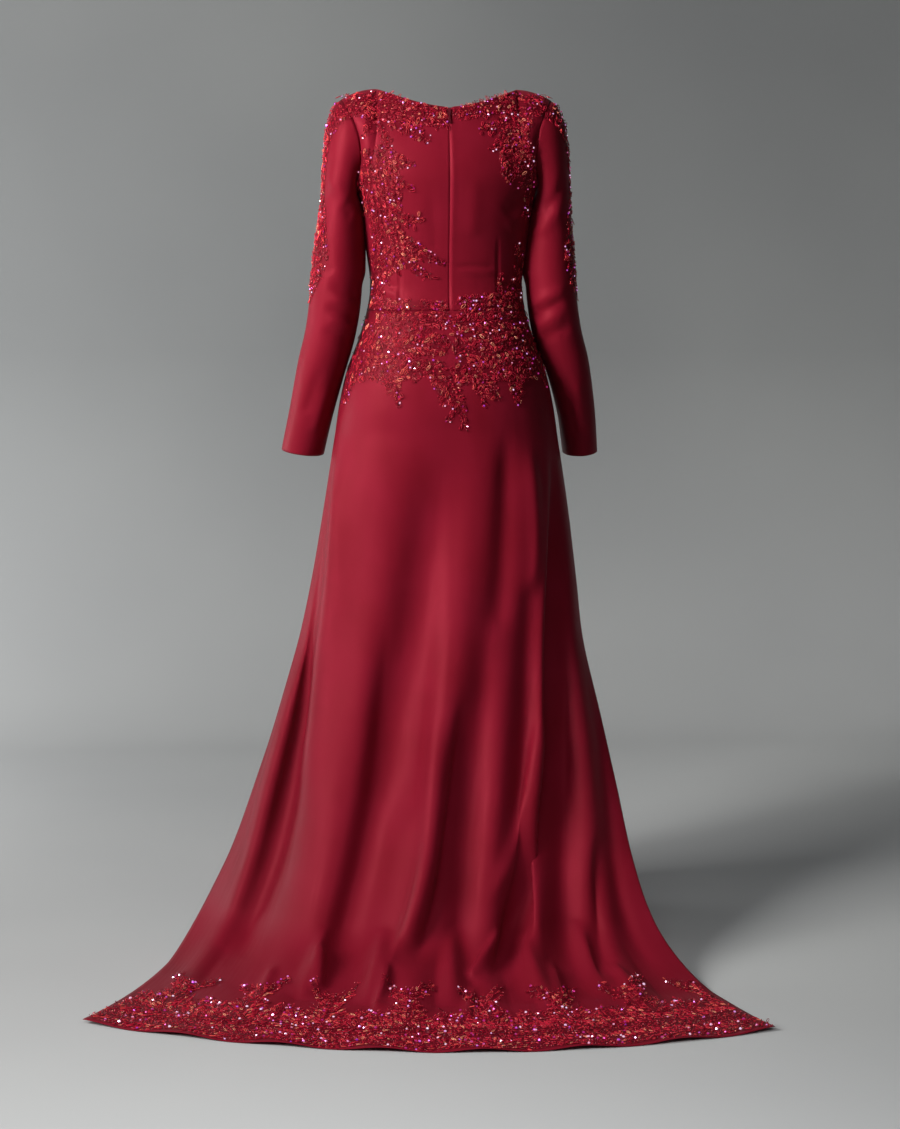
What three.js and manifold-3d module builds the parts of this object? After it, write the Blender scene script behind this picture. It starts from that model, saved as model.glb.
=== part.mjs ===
// Long-sleeved ao dai tunic: fitted bodice with a boat neck and a back zip, a front panel and a back panel
// that are free of each other below the hip, the back one running out into a train, with beaded lace
// applique on the cloth. Millimetres, +Z up. The front faces -Y and the wearer's left is +X. The origin is
// the middle of the neck opening on the shoulder line, where the wearer carries the garment.

import * as THREE from "three";
import { mergeVertices } from "three/addons/utils/BufferGeometryUtils.js";
import Module from "manifold-3d";

// Heights above the floor.
const SHOULDER_LINE = 1425;
const NECK_POINT = 1432;
const SHOULDER_TIP = 1414;
const BACK_NECK = 1400;
const FRONT_NECK = 1384;
const ARMPIT = 1272;
const WAIST_SEAM = 1062;
const SLIT_TOP = 860;
const FRONT_HEM = 20;
const BEND_START = 85;
const LAND_SHARE = 0.3;

// Cloth and seams.
const CLOTH = 1.6;
const SEAM_GAP = 0.4;
const LACE = 1.3;
const LACE_RELIEF = 1.1;
const SEAM_MARGIN = 5;
const SLEEVE_MARGIN = 7;
const ARMHOLE_MARGIN = 8;
const LACE_MARGIN = 3;
const HIP_MARGIN = 4;
const SQUARENESS = 2.3;
// The place across a panel from which it starts to clear its neighbour at the side seam.
const SIDE_SEAM_FROM = 0.8;
// The short distance over which a slope is measured.
const SLOPE_STEP = 10;

// Neck opening and shoulder, half widths and depths from the body's axis.
const NECK_HALF = 118;
const NECK_BACK = 62;
const NECK_FRONT = 76;
const SHOULDER_HALF = 178;
const NECK_SHARE = 0.64;
const NECK_ROUNDING = 1.6;

// How the bodice runs in to its top edge: the slope back toward the body, and the share of the climb that
// is left there, at the neckline and at the shoulder. Its sides are pulled out to the armhole from pullFrom
// on.
const TOP_EDGE = {
  lean: { neck: 66, shoulder: 150 },
  climb: { neck: 0.85, shoulder: 0.35 },
  from: 0.35,
  to: 1.1,
  foot: 0.4,
  pullFrom: 0.4,
};

// Armhole loop.
const ARMHOLE = { topX: 178, bottomX: 154, cut: 18, back: 58, front: 52 };

// Body sections: half width, depth behind the axis and depth before it.
const TORSO = [
  { height: 860, half: 189, back: 137, front: 113 },
  { height: 905, half: 182, back: 136, front: 115 },
  { height: 960, half: 169, back: 127, front: 116 },
  { height: 1010, half: 150, back: 110, front: 112 },
  { height: 1060, half: 135, back: 92, front: 104 },
  { height: 1105, half: 128, back: 83, front: 98 },
  { height: 1160, half: 131, back: 88, front: 110 },
  { height: 1215, half: 138, back: 97, front: 129 },
  { height: 1272, half: 154, back: 104, front: 116 },
];

// Sleeve sections down the arm, as on the left: centre, half width across and half depth.
const SLEEVE_LEFT = [
  { height: 1226, x: 179, y: 2, wide: 35, deep: 52 },
  { height: 1150, x: 184, y: 4, wide: 41, deep: 50 },
  { height: 1076, x: 190, y: 6, wide: 43, deep: 48 },
  { height: 1020, x: 199, y: 2, wide: 42, deep: 46 },
  { height: 967, x: 213, y: -6, wide: 40.5, deep: 44 },
  { height: 888, x: 231, y: -22, wide: 37, deep: 40 },
  { height: 818, x: 246, y: -38, wide: 36, deep: 37 },
];
const SLEEVE_RIGHT = [
  { height: 1226, x: 178, y: 2, wide: 34, deep: 52 },
  { height: 1150, x: 177, y: 4, wide: 41, deep: 50 },
  { height: 1076, x: 182, y: 6, wide: 42, deep: 48 },
  { height: 1020, x: 192, y: 2, wide: 41, deep: 47 },
  { height: 967, x: 210, y: -6, wide: 37, deep: 46 },
  { height: 888, x: 228, y: -24, wide: 32, deep: 43 },
  { height: 815, x: 238, y: -42, wide: 29.5, deep: 42 },
];

// The back panel as it hangs: its left edge, middle and right edge at each height.
const HANG = [
  { height: 860, leftX: 189, leftY: 0, midX: 0, midY: 137, rightX: -189, rightY: 0 },
  { height: 720, leftX: 213, leftY: 36, midX: 2, midY: 152, rightX: -210, rightY: 12 },
  { height: 600, leftX: 235, leftY: 53, midX: 6, midY: 178, rightX: -222, rightY: 38 },
  { height: 500, leftX: 258, leftY: 68, midX: 10, midY: 207, rightX: -230, rightY: 72 },
  { height: 380, leftX: 292, leftY: 86, midX: 17, midY: 250, rightX: -253, rightY: 129 },
  { height: 270, leftX: 331, leftY: 102, midX: 25, midY: 294, rightX: -272, rightY: 196 },
  { height: 160, leftX: 373, leftY: 118, midX: 35, midY: 350, rightX: -289, rightY: 279 },
  { height: 80, leftX: 413, leftY: 130, midX: 43, midY: 398, rightX: -312, rightY: 350 },
  { height: 0, leftX: 455, leftY: 142, midX: 50, midY: 450, rightX: -362, rightY: 430 },
];

// The share of the fall over which the section goes from the hip's round to slack cloth.
const SLACK = { from: -0.1, to: 1.1 };

// Where its hem lies on the floor, across the panel from the wearer's right (-1) to left, and how far the
// left edge bows in between floor line and hem.
const HEM = [
  { across: -1, x: -440, y: 694 },
  { across: 0, x: 78, y: 757 },
  { across: 1, x: 597, y: 578 },
];
const EDGE_BOW = 20;

// The hem lifts off the floor in shallow waves.
const HEM_WAVE = { height: 3, turns: 22 };

// Folds of the back panel: place across it where the fold starts and where it meets the floor, the height
// where it starts, how far it stands out (or in, when negative) and its half width as a share of the
// panel's half width.
const TRAIN_FOLDS = [
  { from: 0.93, to: 0.88, start: 800, depth: 12, wide: 0.05 },
  { from: 0.88, to: 0.75, start: 780, depth: -17, wide: 0.075 },
  { from: 0.6, to: 0.55, start: 560, depth: 9, wide: 0.11 },
  { from: 0.02, to: 0.36, start: 880, depth: -22, wide: 0.12 },
  { from: -0.12, to: 0.1, start: 800, depth: 16, wide: 0.085 },
  { from: -0.2, to: -0.07, start: 640, depth: -18, wide: 0.06 },
  { from: -0.3, to: -0.2, start: 600, depth: 9, wide: 0.07 },
  { from: -0.47, to: -0.32, start: 860, depth: -13, wide: 0.06 },
  { from: -0.66, to: -0.4, start: 840, depth: 18, wide: 0.065 },
  { from: -0.84, to: -0.53, start: 820, depth: -24, wide: 0.08 },
  { from: -0.9, to: -0.72, start: 620, depth: 14, wide: 0.08 },
  { from: -0.95, to: -0.84, start: 480, depth: -10, wide: 0.05 },
];

// How a fold drifts across as it falls, the share of its fall at which it is full, and how much of it is
// left where the cloth lies on the floor.
const FOLD_DRIFT = 0.8;
const FOLD_GROWN = 0.7;
const RIPPLE_LEFT = 0.8;

// Places along the floor line where the cloth buckles into a short standing fold.
const FLOOR_BREAKS = [
  { across: 0.47, height: 20, wide: 0.04 },
  { across: 0.23, height: 26, wide: 0.045 },
  { across: -0.06, height: 24, wide: 0.045 },
  { across: -0.36, height: 16, wide: 0.04 },
  { across: -0.62, height: 18, wide: 0.045 },
];

// The front panel at its hem: half width, depth at the slits and how much further out its middle hangs.
const FRONT_HEM_LINE = { half: 236, side: 34, bulge: 112 };

const FRONT_FOLDS = [
  { from: -0.75, to: -0.7, start: 800, depth: 9, wide: 0.1 },
  { from: -0.4, to: -0.42, start: 760, depth: -10, wide: 0.12 },
  { from: -0.05, to: -0.02, start: 780, depth: 10, wide: 0.13 },
  { from: 0.3, to: 0.36, start: 760, depth: -10, wide: 0.12 },
  { from: 0.7, to: 0.72, start: 800, depth: 9, wide: 0.1 },
];

// A sleeve leaves the armhole in this direction, from its top (0) to the underarm (1), so that its cap
// stands up round.
const SLEEVE_CAP = { outTop: 0.55, outUnder: 0.6, outLess: 1.05, back: 0.12, downTop: 0.3, downUnder: 0.7 };
const SLEEVE_SEAM = 1.6;
const ARM_STEP = 8;

// Lace sprays. Each runs from one point to another and tapers. On the body, x is across and z is the
// height.
const LACE_BACK_LEFT = [
  { x0: 171, z0: 1405, x1: 110, z1: 1396, from: 20, to: 24 },
  { x0: 120, z0: 1396, x1: 20, z1: 1368, from: 24, to: 14 },
  { x0: 95, z0: 1380, x1: 40, z1: 1344, from: 22, to: 10 },
  { x0: 128, z0: 1384, x1: 142, z1: 1350, from: 12, to: 4 },
  { x0: 112, z0: 1372, x1: 100, z1: 1320, from: 9, to: 8 },
  { x0: 112, z0: 1312, x1: 106, z1: 1240, from: 25, to: 27 },
  { x0: 106, z0: 1310, x1: 62, z1: 1303, from: 18, to: 5 },
  { x0: 104, z0: 1270, x1: 64, z1: 1266, from: 17, to: 5 },
  { x0: 110, z0: 1240, x1: 98, z1: 1150, from: 27, to: 26 },
  { x0: 102, z0: 1210, x1: 46, z1: 1214, from: 20, to: 5 },
  { x0: 100, z0: 1180, x1: 12, z1: 1142, from: 26, to: 4 },
  { x0: 108, z0: 1150, x1: 108, z1: 1112, from: 22, to: 9 },
  { x0: 82, z0: 1150, x1: 34, z1: 1117, from: 14, to: 6 },
  { x0: 122, z0: 1120, x1: 116, z1: 1060, from: 10, to: 16 },
  { x0: 116, z0: 1074, x1: 60, z1: 1066, from: 14, to: 7 },
];
const LACE_BACK_RIGHT = [
  { x0: -168, z0: 1403, x1: -60, z1: 1394, from: 20, to: 20 },
  { x0: -60, z0: 1390, x1: -18, z1: 1386, from: 14, to: 7 },
  { x0: -110, z0: 1392, x1: -104, z1: 1300, from: 34, to: 22 },
  { x0: -100, z0: 1368, x1: -52, z1: 1364, from: 18, to: 6 },
  { x0: -104, z0: 1340, x1: -66, z1: 1330, from: 20, to: 5 },
  { x0: -104, z0: 1320, x1: -100, z1: 1276, from: 20, to: 6 },
  { x0: -130, z0: 1330, x1: -140, z1: 1308, from: 13, to: 7 },
];
const LACE_WAIST_RIGHT = [
  { x0: -118, z0: 1168, x1: -120, z1: 1100, from: 9, to: 12 },
  { x0: -118, z0: 1110, x1: -104, z1: 1070, from: 14, to: 22 },
  { x0: -86, z0: 1118, x1: -92, z1: 1076, from: 6, to: 10 },
  { x0: -92, z0: 1072, x1: -24, z1: 1072, from: 12, to: 9 },
];
const LACE_HIP = [
  { x0: 122, z0: 1046, x1: 14, z1: 1040, from: 26, to: 12 },
  { x0: 150, z0: 1000, x1: 18, z1: 1006, from: 30, to: 18 },
  { x0: 168, z0: 962, x1: 22, z1: 968, from: 22, to: 14 },
  { x0: 168, z0: 960, x1: 176, z1: 906, from: 16, to: 5 },
  { x0: 104, z0: 960, x1: 88, z1: 906, from: 18, to: 5 },
  { x0: 70, z0: 960, x1: 62, z1: 946, from: 12, to: 6 },
  { x0: 30, z0: 962, x1: 16, z1: 908, from: 12, to: 5 },
  { x0: -14, z0: 1030, x1: -118, z1: 1046, from: 14, to: 22 },
  { x0: -22, z0: 1000, x1: -146, z1: 1000, from: 22, to: 28 },
  { x0: -26, z0: 962, x1: -164, z1: 964, from: 22, to: 14 },
  { x0: 8, z0: 950, x1: -24, z1: 866, from: 20, to: 4 },
  { x0: -14, z0: 900, x1: 8, z1: 882, from: 10, to: 6 },
  { x0: -44, z0: 950, x1: -52, z1: 908, from: 16, to: 5 },
  { x0: -58, z0: 950, x1: -78, z1: 916, from: 14, to: 4 },
  { x0: -108, z0: 956, x1: -112, z1: 908, from: 18, to: 5 },
  { x0: -160, z0: 960, x1: -166, z1: 934, from: 10, to: 4 },
];
const LACE_FRONT_SHOULDER = [
  { x0: 171, z0: 1405, x1: 118, z1: 1392, from: 20, to: 22 },
  { x0: 118, z0: 1392, x1: 70, z1: 1366, from: 22, to: 10 },
  { x0: 128, z0: 1384, x1: 112, z1: 1320, from: 20, to: 6 },
];
const LACE_HIP_FRONT = [
  { x0: -128, z0: 1036, x1: 128, z1: 1036, from: 26, to: 26 },
  { x0: -152, z0: 992, x1: 152, z1: 992, from: 26, to: 26 },
  { x0: -150, z0: 975, x1: -160, z1: 912, from: 18, to: 5 },
  { x0: -84, z0: 975, x1: -80, z1: 920, from: 20, to: 5 },
  { x0: 0, z0: 975, x1: 0, z1: 880, from: 26, to: 5 },
  { x0: 84, z0: 975, x1: 80, z1: 920, from: 20, to: 5 },
  { x0: 150, z0: 975, x1: 160, z1: 912, from: 18, to: 5 },
];
const LACE_RIPPLE = { depth: 3.5, length: 21 };

// The lace's relief has bumps this far apart across and down. A cut through a small face keeps this share
// of its side clear of the corners.
const RELIEF_STEP = { across: 4.1, down: 4.7 };
const CUT_CLEAR = 0.12;

// Lace down the outside of each sleeve: height, and middle and half width in degrees round the arm from its
// outside toward the back.
const LACE_SLEEVE = [
  { height: 1400, middle: 8, spread: 62 },
  { height: 1340, middle: 0, spread: 40 },
  { height: 1280, middle: 0, spread: 30 },
  { height: 1210, middle: 8, spread: 40 },
  { height: 1150, middle: 14, spread: 48 },
  { height: 1110, middle: 14, spread: 36 },
  { height: 1072, middle: 8, spread: 8 },
];

// One degree round the arm, in millimetres.
const DEGREE = 0.75;

// Scalloped lace border of the train: one repeat's length, its mean depth and how far each scallop swells.
// It lies where the cloth is lower than its top.
const HEM_LACE = { repeat: 146, depth: 172, swell: 24, top: 60 };

// Grids: how many pieces each panel is divided into.
const BACK_COLUMNS = 10;
const FRONT_BODICE_COLUMNS = 7;
const BODICE_LOWER_ROWS = 8;
const BODICE_UPPER_ROWS = 6;
const SKIRT_COLUMNS = 36;
const HIP_ROWS = 7;
const HANG_ROWS = 10;
const BEND_ROWS = 4;
const FLOOR_ROWS = 6;
const FRONT_COLUMNS = 16;
const FRONT_HANG_ROWS = 8;
const SLEEVE_COLUMNS = 16;
const CAP_ROWS = 5;
const ARM_ROWS = 8;

// Zip.
const ZIP_TAPE = 1;
const SLIDER = {
  height: 1386, wide: 6, long: 8, thick: 1.8, earWide: 1, earGap: 3.6, earOver: 1,
  pinRadius: 0.6, pinOut: 2.2, pinBelow: 2.1, above: 6, below: 14,
};
const PULL = { eyeRadius: 1.6, holeRadius: 0.95, wide: 2.8, tipWide: 4.4, long: 19, thick: 1.2 };

const wasm = await Module();
wasm.setup();

const satin = new THREE.MeshStandardMaterial({ color: "#8c1830", roughness: 0.45 });
const lace = new THREE.MeshStandardMaterial({ color: "#a8283c", roughness: 0.4 });
const tape = new THREE.MeshStandardMaterial({ color: "#5c1020", roughness: 0.8 });
const metal = new THREE.MeshStandardMaterial({ color: "#7a2436", roughness: 0.35, metalness: 0.6 });

const garment = new THREE.Group();

const quarter = Math.PI / 2;
const mix = THREE.MathUtils.lerp;
const { clamp, smoothstep } = THREE.MathUtils;
const at = (x, y, height) => new THREE.Vector3(x, y, height - SHOULDER_LINE);

// A smooth line through one column of a table, as a function of the key column.
function smooth(rows, key, name) {
  const sorted = [...rows].sort((a, b) => a[key] - b[key]);
  const keys = sorted.map((row) => row[key]);
  const values = sorted.map((row) => row[name]);
  const last = keys.length - 1;
  const slopes = keys.map((_, i) => {
    const low = Math.max(i - 1, 0);
    const high = Math.min(i + 1, last);
    return (values[high] - values[low]) / (keys[high] - keys[low]);
  });
  return (key) => {
    const place = clamp(key, keys[0], keys[last]);
    let i = 0;
    while (i < last - 1 && place > keys[i + 1]) i += 1;
    const span = keys[i + 1] - keys[i];
    return hermite(
      values[i],
      slopes[i] * span,
      values[i + 1],
      slopes[i + 1] * span,
      (place - keys[i]) / span,
    );
  };
}

function hermite(start, startSlope, end, endSlope, t) {
  const rest = 1 - t;
  return (
    start * (1 + 2 * t) * rest * rest +
    startSlope * t * rest * rest +
    end * t * t * (3 - 2 * t) -
    endSlope * t * t * rest
  );
}

const hermitePoint = (start, startSlope, end, endSlope, t) =>
  new THREE.Vector3(
    hermite(start.x, startSlope.x, end.x, endSlope.x, t),
    hermite(start.y, startSlope.y, end.y, endSlope.y, t),
    hermite(start.z, startSlope.z, end.z, endSlope.z, t),
  );

// The quadratic through a table's three rows, whose key column is -1, 0 and 1.
function parabola(rows, name) {
  const [low, middle, high] = rows.map((row) => row[name]);
  return (across) =>
    middle + ((high - low) / 2) * across + ((high + low) / 2 - middle) * across * across;
}

const torsoHalf = smooth(TORSO, "height", "half");
const torsoBack = smooth(TORSO, "height", "back");
const torsoFront = smooth(TORSO, "height", "front");

// A point of the body's section at a height. turn is 0 at the middle of the side asked for and 1 at its
// side seam.
function sectionPoint(height, turn, isBack) {
  const angle = Math.min(Math.abs(turn), 1) * quarter;
  const power = 2 / SQUARENESS;
  const depth = isBack ? torsoBack(height) : -torsoFront(height);
  return at(
    Math.sign(turn) * torsoHalf(height) * Math.sin(angle) ** power,
    depth * Math.max(Math.cos(angle), 0) ** power,
    height,
  );
}

// The armhole loop on the wearer's left: angle 0 at the shoulder, a quarter turn at the back, half a turn
// underarm.
function armholePoint(angle) {
  const middle = (ARMHOLE.topX + ARMHOLE.bottomX) / 2;
  const swing = (ARMHOLE.topX - ARMHOLE.bottomX) / 2;
  const centre = (SHOULDER_TIP + ARMPIT) / 2;
  const reach = (SHOULDER_TIP - ARMPIT) / 2;
  const side = Math.sin(angle);
  return at(
    middle + swing * Math.cos(angle) - ARMHOLE.cut * side * side,
    side * (side > 0 ? ARMHOLE.back : ARMHOLE.front),
    centre + reach * Math.cos(angle),
  );
}

// The neckline and then the shoulder seam, from the middle (0) to the shoulder tip (1), on the wearer's
// left.
function topEdgePoint(along, isBack) {
  const side = isBack ? 1 : -1;
  if (along > NECK_SHARE) {
    const t = (along - NECK_SHARE) / (1 - NECK_SHARE);
    return at(mix(NECK_HALF, SHOULDER_HALF, t), 0, mix(NECK_POINT, SHOULDER_TIP, t * t));
  }
  const angle = (along / NECK_SHARE) * quarter;
  const depth = isBack ? NECK_BACK : NECK_FRONT;
  const low = isBack ? BACK_NECK : FRONT_NECK;
  return at(
    NECK_HALF * Math.sin(angle),
    side * depth * Math.cos(angle),
    mix(low, NECK_POINT, Math.sin(angle) ** NECK_ROUNDING),
  );
}

// One half of the bodice on the wearer's left, above the armpit: along runs from the middle to the armhole
// and up from the armpit to the neckline and shoulder.
function upperBodicePoint(along, up, isBack) {
  const side = isBack ? 1 : -1;
  const shape = (place) => {
    const foot = sectionPoint(ARMPIT, place, isBack);
    const below = sectionPoint(ARMPIT - SLOPE_STEP, place, isBack);
    const head = topEdgePoint(place, isBack);
    const climb = head.z - foot.z;
    const footSlope = foot.clone().sub(below).multiplyScalar(climb / SLOPE_STEP);
    footSlope.x *= TOP_EDGE.foot;
    const over = smoothstep(place, NECK_SHARE * TOP_EDGE.from, NECK_SHARE * TOP_EDGE.to);
    const lean = mix(TOP_EDGE.lean.neck, TOP_EDGE.lean.shoulder, over);
    const rise = mix(TOP_EDGE.climb.neck, TOP_EDGE.climb.shoulder, over);
    const headSlope = new THREE.Vector3(0, -side * lean, rise * climb);
    return hermitePoint(foot, footSlope, head, headSlope, up);
  };
  const edge = armholePoint(side * Math.PI * (1 - up));
  const pull = edge.sub(shape(1));
  return shape(along).addScaledVector(pull, smoothstep(along, TOP_EDGE.pullFrom, 1));
}

// How far a panel stands off at its side seam, so that front and back don't touch there.
const nearSideSeam = (across) => SEAM_GAP * smoothstep(Math.abs(across), SIDE_SEAM_FROM, 1);

// Half a bodice panel as rows of points, from the waist seam up and from the middle out to the side.
function bodiceRows(isBack, columns, middleGap) {
  const side = isBack ? 1 : -1;
  const rows = [];
  const trim = (point, along, up) => {
    point.x += middleGap * (1 - along);
    if (along > NECK_SHARE || up === 0) point.y += side * nearSideSeam(along);
    if (up === 1 && along > NECK_SHARE) point.y += side * SEAM_GAP;
    return point;
  };
  for (let row = 0; row <= BODICE_LOWER_ROWS; row += 1) {
    const height = mix(WAIST_SEAM + SEAM_GAP / 2, ARMPIT, row / BODICE_LOWER_ROWS);
    rows.push(
      columnsOf(columns, (along) => trim(sectionPoint(height, along, isBack), along, 0)),
    );
  }
  for (let row = 1; row <= BODICE_UPPER_ROWS; row += 1) {
    const up = row / BODICE_UPPER_ROWS;
    rows.push(
      columnsOf(columns, (along) => trim(upperBodicePoint(along, up, isBack), along, up)),
    );
  }
  return rows;
}

const columnsOf = (count, make) => Array.from({ length: count + 1 }, (_, i) => make(i / count));
const acrossOf = (count, make) => columnsOf(count, (share) => make(2 * share - 1));
const mirrored = (point) => new THREE.Vector3(-point.x, point.y, point.z);
const mirroredRows = (rows) => rows.map((row) => row.map(mirrored));

// How far the folds move the cloth at a place across a panel, at a height.
function foldOffset(folds, across, height) {
  let offset = 0;
  for (const fold of folds) {
    const fallen = clamp(1 - height / fold.start, 0, 1);
    const centre = mix(fold.from, fold.to, fallen ** FOLD_DRIFT);
    const distance = (across - centre) / fold.wide;
    const grown = smoothstep(fallen, 0, FOLD_GROWN);
    offset += fold.depth * grown * Math.exp(-distance * distance);
  }
  return offset;
}

const hemX = parabola(HEM, "x");
const hemY = parabola(HEM, "y");
const hangAt = Object.fromEntries(
  ["leftX", "leftY", "midX", "midY", "rightX", "rightY"].map((name) => [
    name,
    smooth(HANG, "height", name),
  ]),
);

// A point of the back panel's section at a height, round as the hip at the top and slack near the floor.
function hangSection(across, height) {
  const slack = smoothstep(1 - height / SLIT_TOP, SLACK.from, SLACK.to);
  const angle = Math.min(Math.abs(across), 1) * quarter;
  const power = 2 / SQUARENESS;
  const reach = Math.sign(across) * mix(Math.sin(angle) ** power, Math.abs(across), slack);
  const bulge = mix(Math.max(Math.cos(angle), 0) ** power, 1 - across * across, slack);
  const left = hangAt.leftX(height);
  const right = hangAt.rightX(height);
  const middle = hangAt.midX(height);
  const edgeY = mix(hangAt.rightY(height), hangAt.leftY(height), (1 + across) / 2);
  return at(
    middle + ((left - right) / 2) * reach + ((left + right) / 2 - middle) * across * across,
    mix(edgeY, hangAt.midY(height), bulge),
    height,
  );
}

// The back panel where it hangs, from the slit's top (0) to the floor (1).
function hangPoint(across, fallen) {
  const height = SLIT_TOP * (1 - fallen);
  const point = hangSection(across, height);
  point.y += foldOffset(TRAIN_FOLDS, across, height);
  return point;
}

// The back panel from where it leaves the hang, over the bend and along the floor to the hem (1).
function trainRows() {
  const bendShare = 1 - BEND_START / SLIT_TOP;
  const step = 0.02;
  const rows = [];
  for (let row = 0; row <= HIP_ROWS; row += 1) {
    const height = mix(WAIST_SEAM - SEAM_GAP / 2, SLIT_TOP, row / HIP_ROWS);
    rows.push(
      acrossOf(SKIRT_COLUMNS, (across) => {
        const point = sectionPoint(height, across, true);
        point.y += foldOffset(TRAIN_FOLDS, across, height);
        point.y += nearSideSeam(across);
        return point;
      }),
    );
  }
  for (let row = 1; row <= HANG_ROWS; row += 1)
    rows.push(
      acrossOf(SKIRT_COLUMNS, (across) => {
        const point = hangPoint(across, (bendShare * row) / HANG_ROWS);
        point.y += nearSideSeam(across);
        return point;
      }),
    );
  const floorPoint = (across, share) => {
    const touch = hangSection(across, 0);
    const land = LAND_SHARE * (1 - share) + share;
    const bow = 4 * EDGE_BOW * land * (1 - land) * Math.max(across, 0) ** 4;
    const ripple = Math.max(foldOffset(TRAIN_FOLDS, across, 0), 0) * (1 - share);
    const hemWave = HEM_WAVE.height * share ** 3 * (1 - Math.cos(across * HEM_WAVE.turns));
    return at(
      mix(touch.x, hemX(across), land) - bow,
      mix(touch.y, hemY(across), land),
      CLOTH / 2 + ripple * RIPPLE_LEFT * (1 - share) ** 2 + hemWave,
    );
  };
  for (let row = 1; row <= BEND_ROWS; row += 1)
    rows.push(
      acrossOf(SKIRT_COLUMNS, (across) => {
        const start = hangPoint(across, bendShare);
        const before = hangPoint(across, bendShare - step);
        const end = floorPoint(across, 0);
        const beyond = floorPoint(across, step);
        const reach = start.distanceTo(end);
        const startSlope = start.clone().sub(before).setLength(reach);
        const endSlope = beyond.sub(end).setLength(reach * 0.8);
        const point = hermitePoint(start, startSlope, end, endSlope, row / BEND_ROWS);
        for (const fold of FLOOR_BREAKS) {
          const distance = (across - fold.across) / fold.wide;
          const bump = Math.exp(-distance * distance) * Math.sin((Math.PI * row) / (BEND_ROWS + 1));
          point.z += fold.height * bump;
        }
        point.z = Math.max(point.z, CLOTH / 2 - SHOULDER_LINE);
        return point;
      }),
    );
  for (let row = 1; row <= FLOOR_ROWS; row += 1)
    rows.push(acrossOf(SKIRT_COLUMNS, (across) => floorPoint(across, row / FLOOR_ROWS)));
  return rows;
}

// The front panel, from the waist seam to its hem just above the floor.
function frontSkirtRows() {
  const rows = [];
  for (let row = 0; row <= HIP_ROWS; row += 1) {
    const height = mix(WAIST_SEAM - SEAM_GAP / 2, SLIT_TOP, row / HIP_ROWS);
    rows.push(
      acrossOf(FRONT_COLUMNS, (across) => {
        const point = sectionPoint(height, across, false);
        point.y -= nearSideSeam(across);
        return point;
      }),
    );
  }
  for (let row = 1; row <= FRONT_HANG_ROWS; row += 1) {
    const fallen = row / FRONT_HANG_ROWS;
    const height = mix(SLIT_TOP, FRONT_HEM, fallen);
    rows.push(
      acrossOf(FRONT_COLUMNS, (across) => {
        const point = sectionPoint(SLIT_TOP, across, false);
        const hemDepth = FRONT_HEM_LINE.side + FRONT_HEM_LINE.bulge * (1 - across * across);
        point.x = mix(point.x, FRONT_HEM_LINE.half * across, fallen);
        point.y = mix(point.y, -hemDepth, fallen);
        point.y -= SEAM_GAP + foldOffset(FRONT_FOLDS, across, height);
        point.z = height - SHOULDER_LINE;
        return point;
      }),
    );
  }
  return rows;
}

function smoothSleeve(table) {
  const line = Object.fromEntries(
    ["x", "y", "wide", "deep"].map((name) => [name, smooth(table, "height", name)]),
  );
  line.centre = (height) => at(line.x(height), line.y(height), height);
  return line;
}

// A point round the sleeve at a height of its centre line, square to the arm.
function armPoint(arm, height, angle) {
  const step = ARM_STEP / 2;
  const down = arm.centre(height - step).sub(arm.centre(height + step)).normalize();
  const back = new THREE.Vector3(0, 1, 0).addScaledVector(down, -down.y).normalize();
  const out = new THREE.Vector3().crossVectors(back, down).normalize();
  if (out.x < 0) out.negate();
  return arm.centre(height)
    .addScaledVector(out, arm.wide(height) * Math.cos(angle))
    .addScaledVector(back, arm.deep(height) * Math.sin(angle));
}

// A sleeve as it would be on the wearer's left, as rings from the armhole to the cuff.
function sleeveRows(table) {
  const arm = smoothSleeve(table);
  const armTop = table[0].height;
  const cuff = table[table.length - 1].height;
  const ring = (make) =>
    Array.from({ length: SLEEVE_COLUMNS }, (_, i) => make((2 * Math.PI * i) / SLEEVE_COLUMNS));
  const rows = [];
  for (let row = 0; row <= CAP_ROWS; row += 1)
    rows.push(
      ring((angle) => {
        const under = (1 - Math.cos(angle)) / 2;
        const start = armholePoint(angle);
        const leave = new THREE.Vector3(
          SLEEVE_CAP.outTop + SLEEVE_CAP.outUnder * under - SLEEVE_CAP.outLess * under ** 3,
          SLEEVE_CAP.back * Math.sin(angle),
          -SLEEVE_CAP.downTop - SLEEVE_CAP.downUnder * under ** 4,
        );
        start.addScaledVector(leave.clone().normalize(), SLEEVE_SEAM);
        start.x += (CLOTH + 2 * SEAM_GAP) * under ** 2;
        const end = armPoint(arm, armTop, angle);
        const reach = start.distanceTo(end);
        const startSlope = leave.multiplyScalar(reach);
        const endSlope = armPoint(arm, armTop - ARM_STEP, angle).sub(end).setLength(reach);
        return hermitePoint(start, startSlope, end, endSlope, row / CAP_ROWS);
      }),
    );
  for (let row = 1; row <= ARM_ROWS; row += 1)
    rows.push(ring((angle) => armPoint(arm, mix(armTop, cuff, row / ARM_ROWS), angle)));
  return rows;
}

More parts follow.
